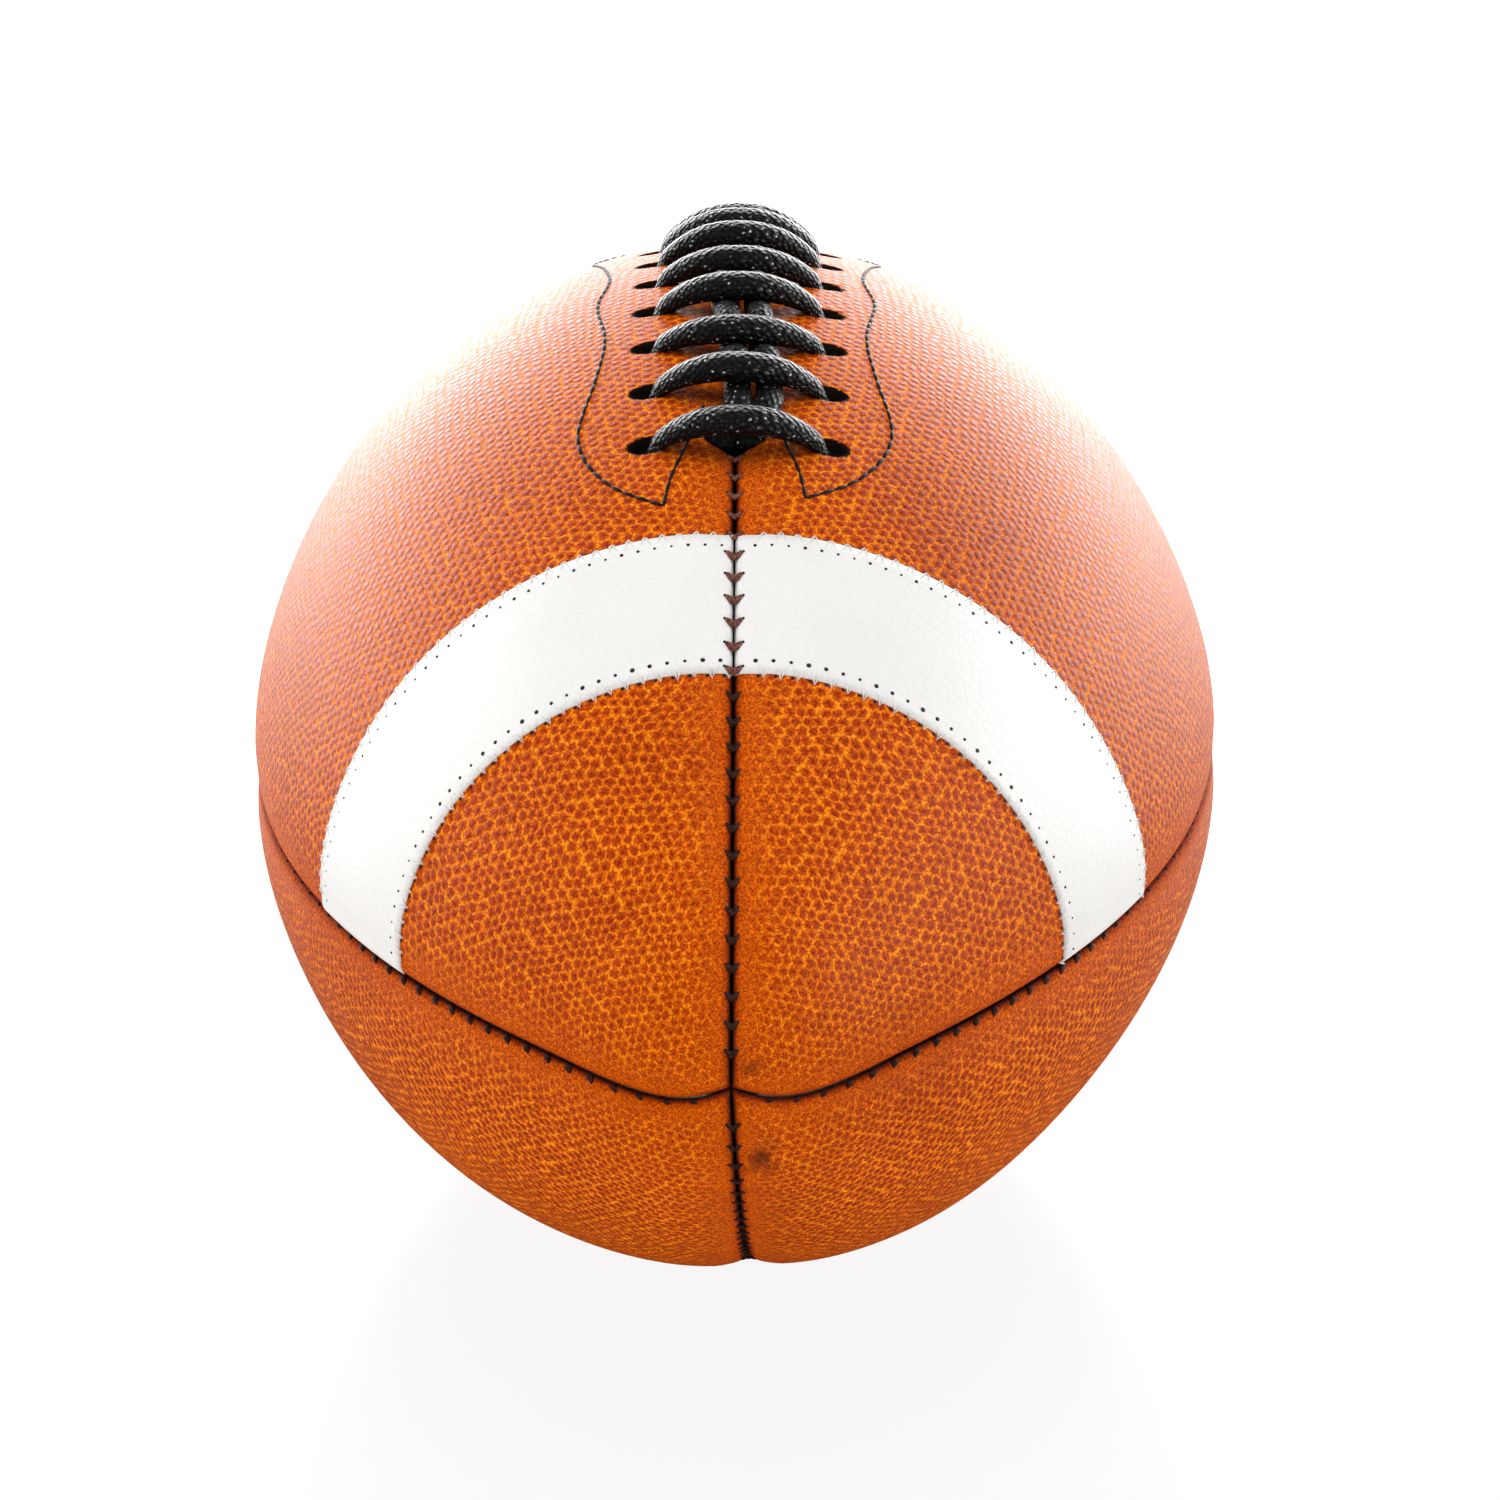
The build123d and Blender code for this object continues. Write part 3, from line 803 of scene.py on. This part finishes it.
# %% [markdown]
# ## Sewing on the stripes
# A zigzag seam holds each edge of a stripe: the thread goes in through a row of needle holes inside the edge
# and bites over the edge onto the leather, which gives the edge its small teeth. One tube follows each whole
# zigzag, and a small dark plug of painted shade, set into the skin, stands for each needle hole, inside the
# edge and beside each bite.

# %% Zigzag thread and needle holes
zigzag_pitch, zigzag_in, zigzag_out = 2.75 * mm, 2.3 * mm, 0.75 * mm
zigzag_thread, needle_radius, needle_rim = 0.34 * mm, 0.42 * mm, 0.12 * mm
zigzag_sunk, zigzag_proud, bite_half, bite_mark_back = 0.3 * mm, 0.1 * mm, 0.12, 0.3
bite_mark_radius, bite_mark_out, needle_proud = 0.34 * mm, 0.35 * mm, 0.02 * mm


def needle_mark(bm, run, angle, height, radius):
    """A small dark plug in the skin, painted shade that stands for a needle hole."""
    centre = place(run, angle, height)
    outward = (place(run, angle, height + 1 * mm) - centre).normalized()
    turn = outward.to_track_quat("Z", "Y").to_matrix().to_4x4()
    where = Matrix.Translation(centre) @ turn
    bmesh.ops.create_cone(
        bm, cap_ends=True, segments=8, radius1=radius, radius2=0.85 * radius, depth=needle_rim, matrix=where)


for end, way in (("front", -1), ("rear", 1)):
    for side in ("left", "right"):
        first, last = panel_seams[f"upper_{side}"]
        thread_bm, hole_bm = bmesh.new(), bmesh.new()
        for edge_station, inward in ((stripe_near, 1), (stripe_far, -1)):
            edge_run = run_at(edge_station)
            radius = outline(edge_run)[1]
            start, stop = seam_angle(first, way * edge_run), seam_angle(last, way * edge_run)
            stop += 2 * pi if stop < start else 0
            teeth = int((stop - start) * radius / zigzag_pitch)
            tooth_turn = (stop - start) / teeth
            path = []
            for tooth in range(1, teeth):
                from_top = tooth / teeth if first == "top" else 1 - tooth / teeth
                angle = start + tooth_turn * (tooth + 0.25)
                run = way * (edge_run + inward * zigzag_in)
                top = skin_rise(run, angle) + stripe_lift
                path.append(place(run, angle, top - zigzag_sunk))
                size = needle_radius * (0.95 if inward < 0 else 0.72) * (0.75 + 0.4 * ((tooth * 5) % 7) / 6)
                size *= 1 - 0.45 * smooth(0.4, 0.95, from_top)
                # A plug of painted shade for the needle hole inside the edge.
                needle_mark(hole_bm, run, angle, top + needle_proud, size)
                angle = start + tooth_turn * (tooth + 0.75)
                run = way * (edge_run - inward * zigzag_out * (0.75 + 0.5 * ((tooth * 7) % 5) / 4))
                rise = skin_rise(run, angle)
                edge, half = rise + stripe_lift + zigzag_proud, bite_half * tooth_turn
                path += [
                    place(way * edge_run, angle - half, edge),
                    place(run, angle, rise + needle_proud),
                    place(way * edge_run, angle + half, edge),
                ]
                # A plug of painted shade for the needle hole beside the bite.
                beside, off = way * (edge_run - inward * bite_mark_out), angle - bite_mark_back * tooth_turn
                needle_mark(hole_bm, beside, off, skin_rise(beside, off), bite_mark_radius)
            roll_tube(thread_bm, path, zigzag_thread, zigzag_thread, 5)
        finish_piece(thread_bm, f"zigzag_{end}_{side}", cream_thread, [f"stripe_thread_{end}_{side}"])
        finish_piece(hole_bm, f"needle_holes_{end}_{side}", needle_hole_shade)
print("stripe sewing done")

# %% [markdown]
# ## Seam stitches
# Along the top and bottom seams the closing stitches show as small V shapes, each with its point in the crease
# and its arms in needle holes on both sides; on the top seam a dark plug of painted shade stands for each hole.
# From the stripes back to the lacing the thread is a reddish brown, elsewhere near black. Under the side seams
# only a short barb of each stitch can be seen. All of them are short tubes, because the light on a real stitch
# comes from its round thread.

# %% V stitches along the seams
stitch_thread, arm_sunk, crease_clear, stitch_hole = 0.85 * mm, 0.3 * mm, 0.6 * mm, 0.3 * mm
least_ring = 2 * mm
# Each shape gives half its width, the length of its point, its height and its thickness along the thread.
stitch_shapes = {
    "stripe": (1.5 * mm, 1.1 * mm, 0.25 * mm, [0.45, 0.85, 1.25, 1.6, 1.8, 1.6, 1.25, 0.85, 0.45]),
    "behind": (1.25 * mm, 1.2 * mm, 0.2 * mm, [0.5, 0.8, 1.0, 1.2, 1.3, 1.2, 1.0, 0.8, 0.5]),
    "nose": (1.05 * mm, 1.0 * mm, 0.2 * mm, [0.5, 0.85, 1.1, 1.3, 1.4, 1.3, 1.1, 0.85, 0.5]),
    "bottom": (1.5 * mm, 1.6 * mm, -0.05 * mm, [0.3, 0.6, 0.9, 1.15, 1.25, 1.15, 0.9, 0.6, 0.3]),
}


def ring_radius(run):
    """Radius of the skin at a run, never so small that a stitch would wrap round the nose."""
    return max(outline(run)[1], least_ring)


def stitch_kind(seam, run):
    """Which stitch shows at a place along the top or bottom seam."""
    if seam == "bottom":
        return "bottom"
    if abs(run) > run_at(stripe_far):
        return "nose"
    return "stripe" if abs(run) > run_at(stripe_near) else "behind"


def v_stitch(bm, holes, seam, run):
    """One V over the top or bottom seam, with a needle hole at the end of each arm on the top seam."""
    kind = stitch_kind(seam, run)
    half, point, proud, thick = stitch_shapes[kind]
    ahead = 1 if seam == "bottom" else copysign(1, run)
    lift = stripe_lift if kind == "stripe" else 0.0
    path = []
    for step in range(-4, 5):
        across = half * step / 4
        at = run + ahead * point * (0.5 - abs(step) / 4)
        radius = ring_radius(at)
        sunk = -arm_sunk if abs(step) == 4 else proud
        beside = seam_angle(seam, at) + copysign(max(abs(across), crease_clear), across) / radius
        path.append(place(at, seam_angle(seam, at) + across / radius, skin_rise(at, beside) + sunk + lift))
    roll_tube(bm, path, stitch_thread, stitch_thread * 0.8, 6, thick)
    if kind == "bottom":
        return
    # A plug of painted shade stands for the needle hole at the end of each arm.
    for way in (-1, 1):
        at = run - ahead * point / 2
        angle = seam_angle(seam, at) + way * half / ring_radius(at)
        needle_mark(holes, at, angle, skin_rise(at, angle) + lift, stitch_hole)


# %% Barbs under the side seams
barb_reach, barb_lean, barb_thread = 1.15 * mm, 1.0 * mm, 1.25 * mm
barb_least, barb_grows, barb_sunk = 0.36, (run_at(62 * mm), run_at(98 * mm)), 0.4 * mm
barb_at_nose, barb_nose_grows = 0.62, (6 * mm, 30 * mm)
barb_start, barb_clear, barb_proud, barb_fall = 0.2 * mm, 0.7 * mm, 0.12 * mm, 0.05 * mm


def side_barb(bm, seam, run):
    """A stitch that shows as a short barb just under a side seam, and shrinks towards the girth."""
    lower = -1 if seam == "left" else 1
    size = barb_least + (1 - barb_least) * smooth(*barb_grows, abs(run))
    sunk = barb_sunk * (1 - size)
    size *= barb_at_nose + (1 - barb_at_nose) * smooth(*barb_nose_grows, half_run - abs(run))
    path = []
    for step in range(6):
        at = run + copysign(barb_lean, run) * size * step / 5
        radius = ring_radius(at)
        off = barb_start + barb_reach * size * step / 5
        angle = seam_angle(seam, at) + lower * off / radius
        beside = seam_angle(seam, at) + lower * max(off, barb_clear) / radius
        path.append(place(at, angle, skin_rise(at, beside) + barb_proud - barb_fall * step - sunk))
    roll_tube(bm, path, barb_thread * size, barb_thread * size * 0.8, 6, [0.8, 1.0, 1.05, 0.95, 0.75, 0.45])


# %% Rows of stitches
def stitch_row(name, seam, runs, replaced):
    bm, reddish_bm, holes = bmesh.new(), bmesh.new(), bmesh.new()
    for run in runs:
        if seam in ("left", "right"):
            side_barb(bm, seam, run)
        else:
            v_stitch(reddish_bm if stitch_kind(seam, run) in ("stripe", "behind") else bm, holes, seam, run)
    finish_piece(bm, name, seam_thread, [replaced])
    # Stitches from the stripes to the lacing get the reddish thread; the needle holes get their plugs of painted
    # shade.
    for more, ending, material in ((reddish_bm, "_reddish", reddish_thread), (holes, "_holes", needle_hole_shade)):
        if more.verts:
            finish_piece(more, name + ending, material, ())
        else:
            more.free()
    print(name, len(runs), "stitches")


def stitch_runs(start, stop):
    count = int((stop - start) / stitch_pitch)
    return [start + (stop - start) * (step + 0.5) / count for step in range(count)]


nose_skip, slit_skip, slit_lip = 4.5 * mm, 1 * mm, 1.8 * mm
whole = stitch_runs(-half_run + nose_skip, half_run - nose_skip)
for seam in ("left", "right", "bottom"):
    stitch_row(f"stitches_{seam}", seam, whole, f"seam_thread_{seam}")
front_runs = stitch_runs(-half_run + nose_skip, run_at(slit_front - slit_lip) - slit_skip)
front_runs.append(2 * front_runs[-1] - front_runs[-2])
stitch_row("stitches_top_front", "top", front_runs, "seam_thread_top_front")
rear_runs = stitch_runs(run_at(slit_rear) + slit_skip, half_run - nose_skip)
stitch_row("stitches_top_rear", "top", rear_runs, "seam_thread_top_rear")

# %% [markdown]
# ## Sewn outline of the facings
# A patch behind each row of lace holes is sewn through the leather, and its outline shows as a fine black
# line of stitches: a wavy outer edge, a corner near each stripe and a slanted run back to the seam. From corner
# to corner, a smooth curve goes through a few points, and a short tube is laid along it for each stitch.

# %% Stitched outline on both sides of the lacing
facing_half = [
    (5.3 * mm, 41.5 * mm), (8.6 * mm, 53.6 * mm), (10.6 * mm, 59.5 * mm), (11.7 * mm, 65.8 * mm),
    (17.2 * mm, 62.3 * mm), (21.2 * mm, 58.3 * mm), (25.0 * mm, 51.5 * mm), (26.4 * mm, 43.2 * mm),
    (24.0 * mm, 30.0 * mm), (22.6 * mm, 15.5 * mm),
]
facing_middle = (24.4 * mm, 1.5 * mm)
facing_corner = 3
facing_stitch, facing_line = 2.8 * mm, 0.68 * mm
facing_lean, facing_sunk, facing_bow = 0.9 * mm, 0.08 * mm, 0.2 * mm


def smooth_line(points, steps=10):
    """A smooth line through points, by Catmull-Rom, as places across and along."""
    line = []
    for count in range(len(points) - 1):
        p0, p1, p2, p3 = (Vector(points[min(max(count + k, 0), len(points) - 1)]) for k in (-1, 0, 1, 2))
        for step in range(steps):
            t = step / steps
            pull, bend, curl = p2 - p0, 2 * p0 - 5 * p1 + 4 * p2 - p3, 3 * p1 - p0 - 3 * p2 + p3
            line.append(0.5 * (2 * p1 + pull * t + bend * t * t + curl * t ** 3))
    return line + [Vector(points[-1])]


def even_steps(line, pitch):
    """Places along a line, a pitch apart."""
    lengths = lengths_along(line)
    count = max(1, round(lengths[-1] / pitch))
    places, at = [], 0
    for step in range(count + 1):
        goal = lengths[-1] * step / count
        while at < len(line) - 2 and lengths[at + 1] < goal:
            at += 1
        part = (goal - lengths[at]) / max(lengths[at + 1] - lengths[at], 1e-9)
        places.append(line[at].lerp(line[at + 1], min(1.0, part)))
    return places


for side, way in (("left", -1), ("right", 1)):
    front = [(across, -station) for across, station in facing_half]
    rear = list(reversed(facing_half))
    outer = front[facing_corner:] + [facing_middle] + rear[:len(rear) - facing_corner]
    bm = bmesh.new()
    total = 0
    for part in (front[:facing_corner + 1], outer, rear[-facing_corner - 1:]):
        line = [Vector((way * p.x, p.y + way * facing_lean)) for p in smooth_line(part)]
        corners = even_steps(line, facing_stitch)
        for first, second in zip(corners, corners[1:]):
            path = []
            for step in range(7):
                flat = first.lerp(second, 0.01 + 0.98 * step / 6)
                point = spot(flat.x, flat.y)
                run, angle, _ = find(point)
                bow = sin(pi * step / 6)
                path.append(place(run, angle, skin_rise(run, angle) - facing_sunk + facing_bow * bow))
            roll_tube(bm, path, facing_line, facing_line * 0.8, 6, [0.62, 0.86, 1, 1.04, 1, 0.86, 0.62])
            total += 1
    finish_piece(bm, f"facing_stitches_{side}", facing_thread, [f"facing_thread_{side}"])
    print("facing", side, total, "stitches")

# %% [markdown]
# ## Lace
# One woven lace makes the whole ladder. Two strands lie along the seam and go into the slit at both ends, and
# eight bars arch over them from hole to hole. Each bar is a flat tube that is fullest over the strands and
# narrows into its holes. The bumps of the waxed weave are too small to model: they are a pattern in the
# material, which follows a UV map counted in weave steps along and round the lace.

# %% Strands along the seam
weave_pitch, weave_row, lace_sides = 1.6 * mm, 1.5 * mm, 24
strand_width, strand_thickness, strand_across, strand_height = 4.6 * mm, 3.6 * mm, 2.7 * mm, 2.5 * mm
strand_pull, strand_pull_front, strand_steps = 0.4 * mm, 2.5 * mm, 130
strand_sway, strand_wave = 0.25 * mm, 9 * mm
end_share, end_reach = 0.7, 10 * mm
dive, dive_turn, dive_steps = 3.4 * mm, radians(85), 12
press_depth, press_share, press_reach = 1.0 * mm, 0.7, (2 * mm, 7 * mm)
bar_width, bar_thickness, bar_height, bar_reach = 6.2 * mm, 4.7 * mm, 4.8 * mm, 13.6 * mm
bar_drops = [drop * mm for drop in (0.0, 0.2, 1.3, 0.6, 1.0, 0.4, 0.4, 0.4)]
bar_leans = [bow * mm for bow in (1.6, 1.9, 3.0, 2.2, 2.6, 2.0, 2.0, 2.0)]


def woven(bm, points, width, thickness, scale, sideways, start):
    """A lace tube whose weave has whole rows round it and begins at its own place along the lace."""
    rows = round(pi * (width + thickness) / 2 / weave_row)
    roll_tube(bm, points, width, thickness, lace_sides, scale, (weave_pitch, rows, start), sideways)


def strand_drift(station):
    """The strands lie pulled to the right near the front of the lacing, and come back into the slit."""
    pull = strand_pull + strand_pull_front * smooth(-4 * mm, 44 * mm, -station)
    return pull * smooth(0, 6 * mm, station - strand_front)


lace_bm = bmesh.new()
for way in (-1, 1):
    flat_path = []
    for step in range(dive_steps + 1):
        turn = dive_turn * (1 - step / dive_steps)
        flat_path.append((strand_front + dive - dive * sin(turn), -dive * (1 - cos(turn))))
    level_run = strand_rear - strand_front - 2 * dive
    for step in range(1, strand_steps):
        flat_path.append((strand_front + dive + level_run * step / strand_steps, 0.0))
    for step in range(dive_steps + 1):
        turn = dive_turn * step / dive_steps
        flat_path.append((strand_rear - dive + dive * sin(turn), -dive * (1 - cos(turn))))
    points = []
    for station, drop in flat_path:
        lift = strand_height + drop
        for bar, low, bow in zip(bar_stations, bar_drops, bar_leans):
            pressed = 1 - smooth(*press_reach, abs(station - bar + bow))
            lift -= (press_depth + press_share * low) * pressed
        near_end = min(station - strand_front, strand_rear - station)
        spread = strand_across * (end_share + (1 - end_share) * smooth(0, end_reach, near_end))
        sway = strand_sway * sin(station / strand_wave + way)
        points.append(spot(way * spread + sway + strand_drift(station), station, lift))
    woven(lace_bm, points, strand_width, strand_thickness, None, Vector((1, 0, 0)), 40 + 7.3 * way)
print("strands:", len(lace_bm.faces), "faces")

# %% Bars over the strands
bar_steps, bar_tail, bar_dip, bar_sunk, bar_clear = 84, 1.6 * mm, 1.4 * mm, 2.3 * mm, 0.3 * mm
bar_arch, bar_taper, bar_end_scale, bar_middle_scale = 2.3, 2.2, 0.42, 1.05
for count, bar in enumerate(bar_stations):
    points, scale = [], []
    for step in range(bar_steps + 1):
        share = 2 * step / bar_steps - 1
        across = share * (bar_reach + bar_tail)
        arch = max(0.0, 1 - abs(across / bar_reach) ** bar_arch)
        sunk = bar_sunk * smooth(bar_reach - bar_dip, bar_reach + bar_tail, abs(across))
        height = (bar_height - bar_drops[count]) * arch - sunk + bar_clear
        along = bar - bar_leans[count] * (1 - share * share)
        points.append(spot(across + ladder_shift, along, height))
        scale.append(bar_middle_scale - (bar_middle_scale - bar_end_scale) * abs(share) ** bar_taper)
    woven(lace_bm, points, bar_width, bar_thickness, scale, Vector((0, 1, 0)), 100 + 31.7 * count)
finish_piece(lace_bm, "lace_ladder", black_lace, ["lace"])
print("lace made")

# %% [markdown]
# ## Hidden layers
# Under the leather lie the cloth linings, the facings, the rubber bladder and the valve. Their shapes in the
# frame are right, so they stay, and only get their finishes: woven cloth and plain rubber.

# %% Cloth and rubber
def cloth_material(name, dark, light, pitch):
    """Plain woven cloth."""
    material, tree = new_material(name)
    threads = {"Vector": object_place(tree), "Scale": 1 / pitch, "Distortion": 0.4}
    along, over = (node(tree, "TexWave", threads, bands_direction=way).outputs["Fac"] for way in "YX")
    weave = maths(tree, "MULTIPLY", along, over)
    colour = ramp(tree, weave, [(0.1, dark), (0.8, light)])
    wear(tree, colour, 0.9, common_shine, bump(tree, weave, 0.4, 0.2 * mm))
    return material


def rubber_material(name, dark, light):
    """Rubber with a faint bloom."""
    material, tree = new_material(name)
    bloom = noise(tree, object_place(tree), 120, 4)
    colour = ramp(tree, bloom, [(0.3, dark), (0.75, light)])
    wear(tree, colour, 0.62, common_shine, bump(tree, bloom, 0.15, 0.1 * mm))
    return material


lining_cloth = cloth_material("lining_cloth", (0.42, 0.38, 0.32), (0.58, 0.54, 0.47), 3 * mm)
facing_cloth = cloth_material("facing_cloth", (0.02, 0.019, 0.018), (0.05, 0.047, 0.045), 3 * mm)
bladder_rubber = rubber_material("bladder_rubber", (0.008, 0.008, 0.009), (0.018, 0.018, 0.019))
valve_rubber = rubber_material("valve_rubber", (0.004, 0.004, 0.005), (0.01, 0.01, 0.011))
finishes = {"lining": lining_cloth, "lace_facing": facing_cloth, "bladder": bladder_rubber, "valve": valve_rubber}
for name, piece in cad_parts.items():
    for start, finish in finishes.items():
        if name.startswith(start):
            piece.data.materials.clear()
            piece.data.materials.append(finish)
            print(name, "wears", finish.name)

# %% [markdown]
# ## Floor and light
# The ball lies on a plain white table in a light tent: one large soft box above, and low ones at the front and
# at the sides. Two small boxes and three wide backdrops behind the ball only feed the gleams, and the backdrops
# wash the far skin pale. Keeping gleams and plain light apart lets each be set without burning out the white
# stripes. The table shows white to the camera and still takes the ball's soft shadow. To glossy rays it is a
# glow, painted light that is dim round the front of the ball as a painted shadow in its reflections.

# %% Table
floor_bm = bmesh.new()
bmesh.ops.create_grid(floor_bm, x_segments=1, y_segments=1, size=4)
bmesh.ops.translate(floor_bm, verts=floor_bm.verts, vec=(0, 0, -girth_radius + 0.4 * mm))
floor_mesh = bpy.data.meshes.new("table")
floor_bm.to_mesh(floor_mesh)
floor_bm.free()
table = bpy.data.objects.new("table", floor_mesh)
bpy.context.scene.collection.objects.link(table)
print(f"table {girth_radius / mm - 0.4:.1f} mm under the ball's middle")

# %% White table that takes a soft shadow
table_seen_white = 0.91
table_glow_range = {"From Min": 0.0, "From Max": 0.3, "To Min": 0.05, "To Max": 2.6}
table_white, tree = new_material("table_white")
wear(tree, (0.9, 0.9, 0.9, 1), 0.16, 0.9)
rays = node(tree, "LightPath").outputs
spread_out = node(tree, "SeparateXYZ", {0: object_place(tree)}).outputs
# Painted light for glossy rays: the table glows 0.05 in front of and under the ball, a painted shadow in the
# ball's reflections, rising to 2.6 times white off to the sides and behind.
aside = maths(tree, "SUBTRACT", maths(tree, "ABSOLUTE", spread_out["X"]), 0.1)
behind = maths(tree, "MAXIMUM", aside, spread_out["Y"])
glow_for_gleams = node(tree, "MapRange", {"Value": behind, **table_glow_range}).outputs[0]
level_seen = maths(tree, "MAXIMUM", glow_for_gleams, rays["Is Camera Ray"])
glow = node(tree, "Emission", {"Color": (1, 1, 1, 1), "Strength": level_seen}).outputs[0]
share = maths(tree, "MULTIPLY", rays["Is Camera Ray"], table_seen_white)
share = maths(tree, "MAXIMUM", share, rays["Is Glossy Ray"])
painted = tree.nodes["Principled BSDF"].outputs[0]
mix = node(tree, "MixShader", {0: share, 1: painted, 2: glow}).outputs[0]
put(tree, tree.nodes["Material Output"].inputs["Surface"], mix)
table.data.materials.append(table_white)

# %% Soft boxes
soft_boxes = [
    ("gleam_right", (0.85, -0.44, 0.30), 0.9, (0.3, 0.3), 11, "gleams"),
    ("gleam_left", (-0.80, -0.45, 0.39), 0.9, (0.35, 0.35), 2.5, "gleams"),
    ("tent_above", (0.0, -0.1, 1.0), 1.2, (1.2, 1.2), 13, "plain light"),
    ("tent_front", (0.0, -1.0, 0.03), 1.1, (1.4, 0.16), 1.2, "plain light"),
    ("tent_side_0", (-0.95, -0.65, 0.04), 1.1, (0.7, 0.22), 3.7, "plain light"),
    ("tent_side_1", (0.95, -0.65, 0.04), 1.1, (0.7, 0.22), 2.45, "plain light"),
    ("tent_side_2", (-0.8, 0.8, 0.04), 1.1, (0.7, 0.22), 0.4, "plain light"),
    ("tent_side_3", (0.8, 0.8, 0.04), 1.1, (0.7, 0.22), 0.4, "plain light"),
    ("backdrop_left", (-0.85, 1.0, 0.22), 1.3, (1.3, 0.85), 80, "gleams"),
    ("backdrop_right", (0.85, 1.0, 0.22), 1.3, (1.3, 0.85), 80, "gleams"),
    ("backdrop_middle", (0.0, 1.2, 0.22), 1.25, (1.0, 0.85), 34, "gleams"),
]
for name, aim_from, distance, size, power, feeds in soft_boxes:
    lamp = bpy.data.lights.new(name, "AREA")
    lamp.shape, lamp.energy = "RECTANGLE", power
    lamp.size, lamp.size_y = size
    box = bpy.data.objects.new(name, lamp)
    way = Vector(aim_from).normalized()
    box.location = way * distance
    box.rotation_euler = way.to_track_quat("Z", "Y").to_euler()
    box.visible_camera, box.visible_glossy, box.visible_diffuse = False, feeds == "gleams", feeds != "gleams"
    bpy.context.scene.collection.objects.link(box)
print("soft boxes:", len(soft_boxes))

# %% The room
room_light = 0.22
room_mirror = {"From Min": -0.2, "From Max": 0.6, "To Min": 0.05, "To Max": 1.0}
world = bpy.data.worlds.new("room")
bpy.context.scene.world = world
world.use_nodes = True
tree = world.node_tree
rays = node(tree, "LightPath").outputs
toward = node(tree, "SeparateXYZ", {0: node(tree, "TexCoord").outputs["Generated"]}).outputs["Y"]
mirrored = node(tree, "MapRange", {"Value": toward, **room_mirror}).outputs[0]
mirrored = maths(tree, "MULTIPLY", mirrored, rays["Is Glossy Ray"])
clear = maths(tree, "MAXIMUM", rays["Is Camera Ray"], rays["Is Transmission Ray"])
shown = maths(tree, "MAXIMUM", mirrored, clear)
soft = maths(tree, "MULTIPLY", rays["Is Diffuse Ray"], room_light)
background = tree.nodes["Background"].inputs
put(tree, background["Color"], (1, 1, 1, 1))
put(tree, background["Strength"], maths(tree, "MAXIMUM", shown, soft))
bpy.context.scene.view_settings.view_transform = "Standard"
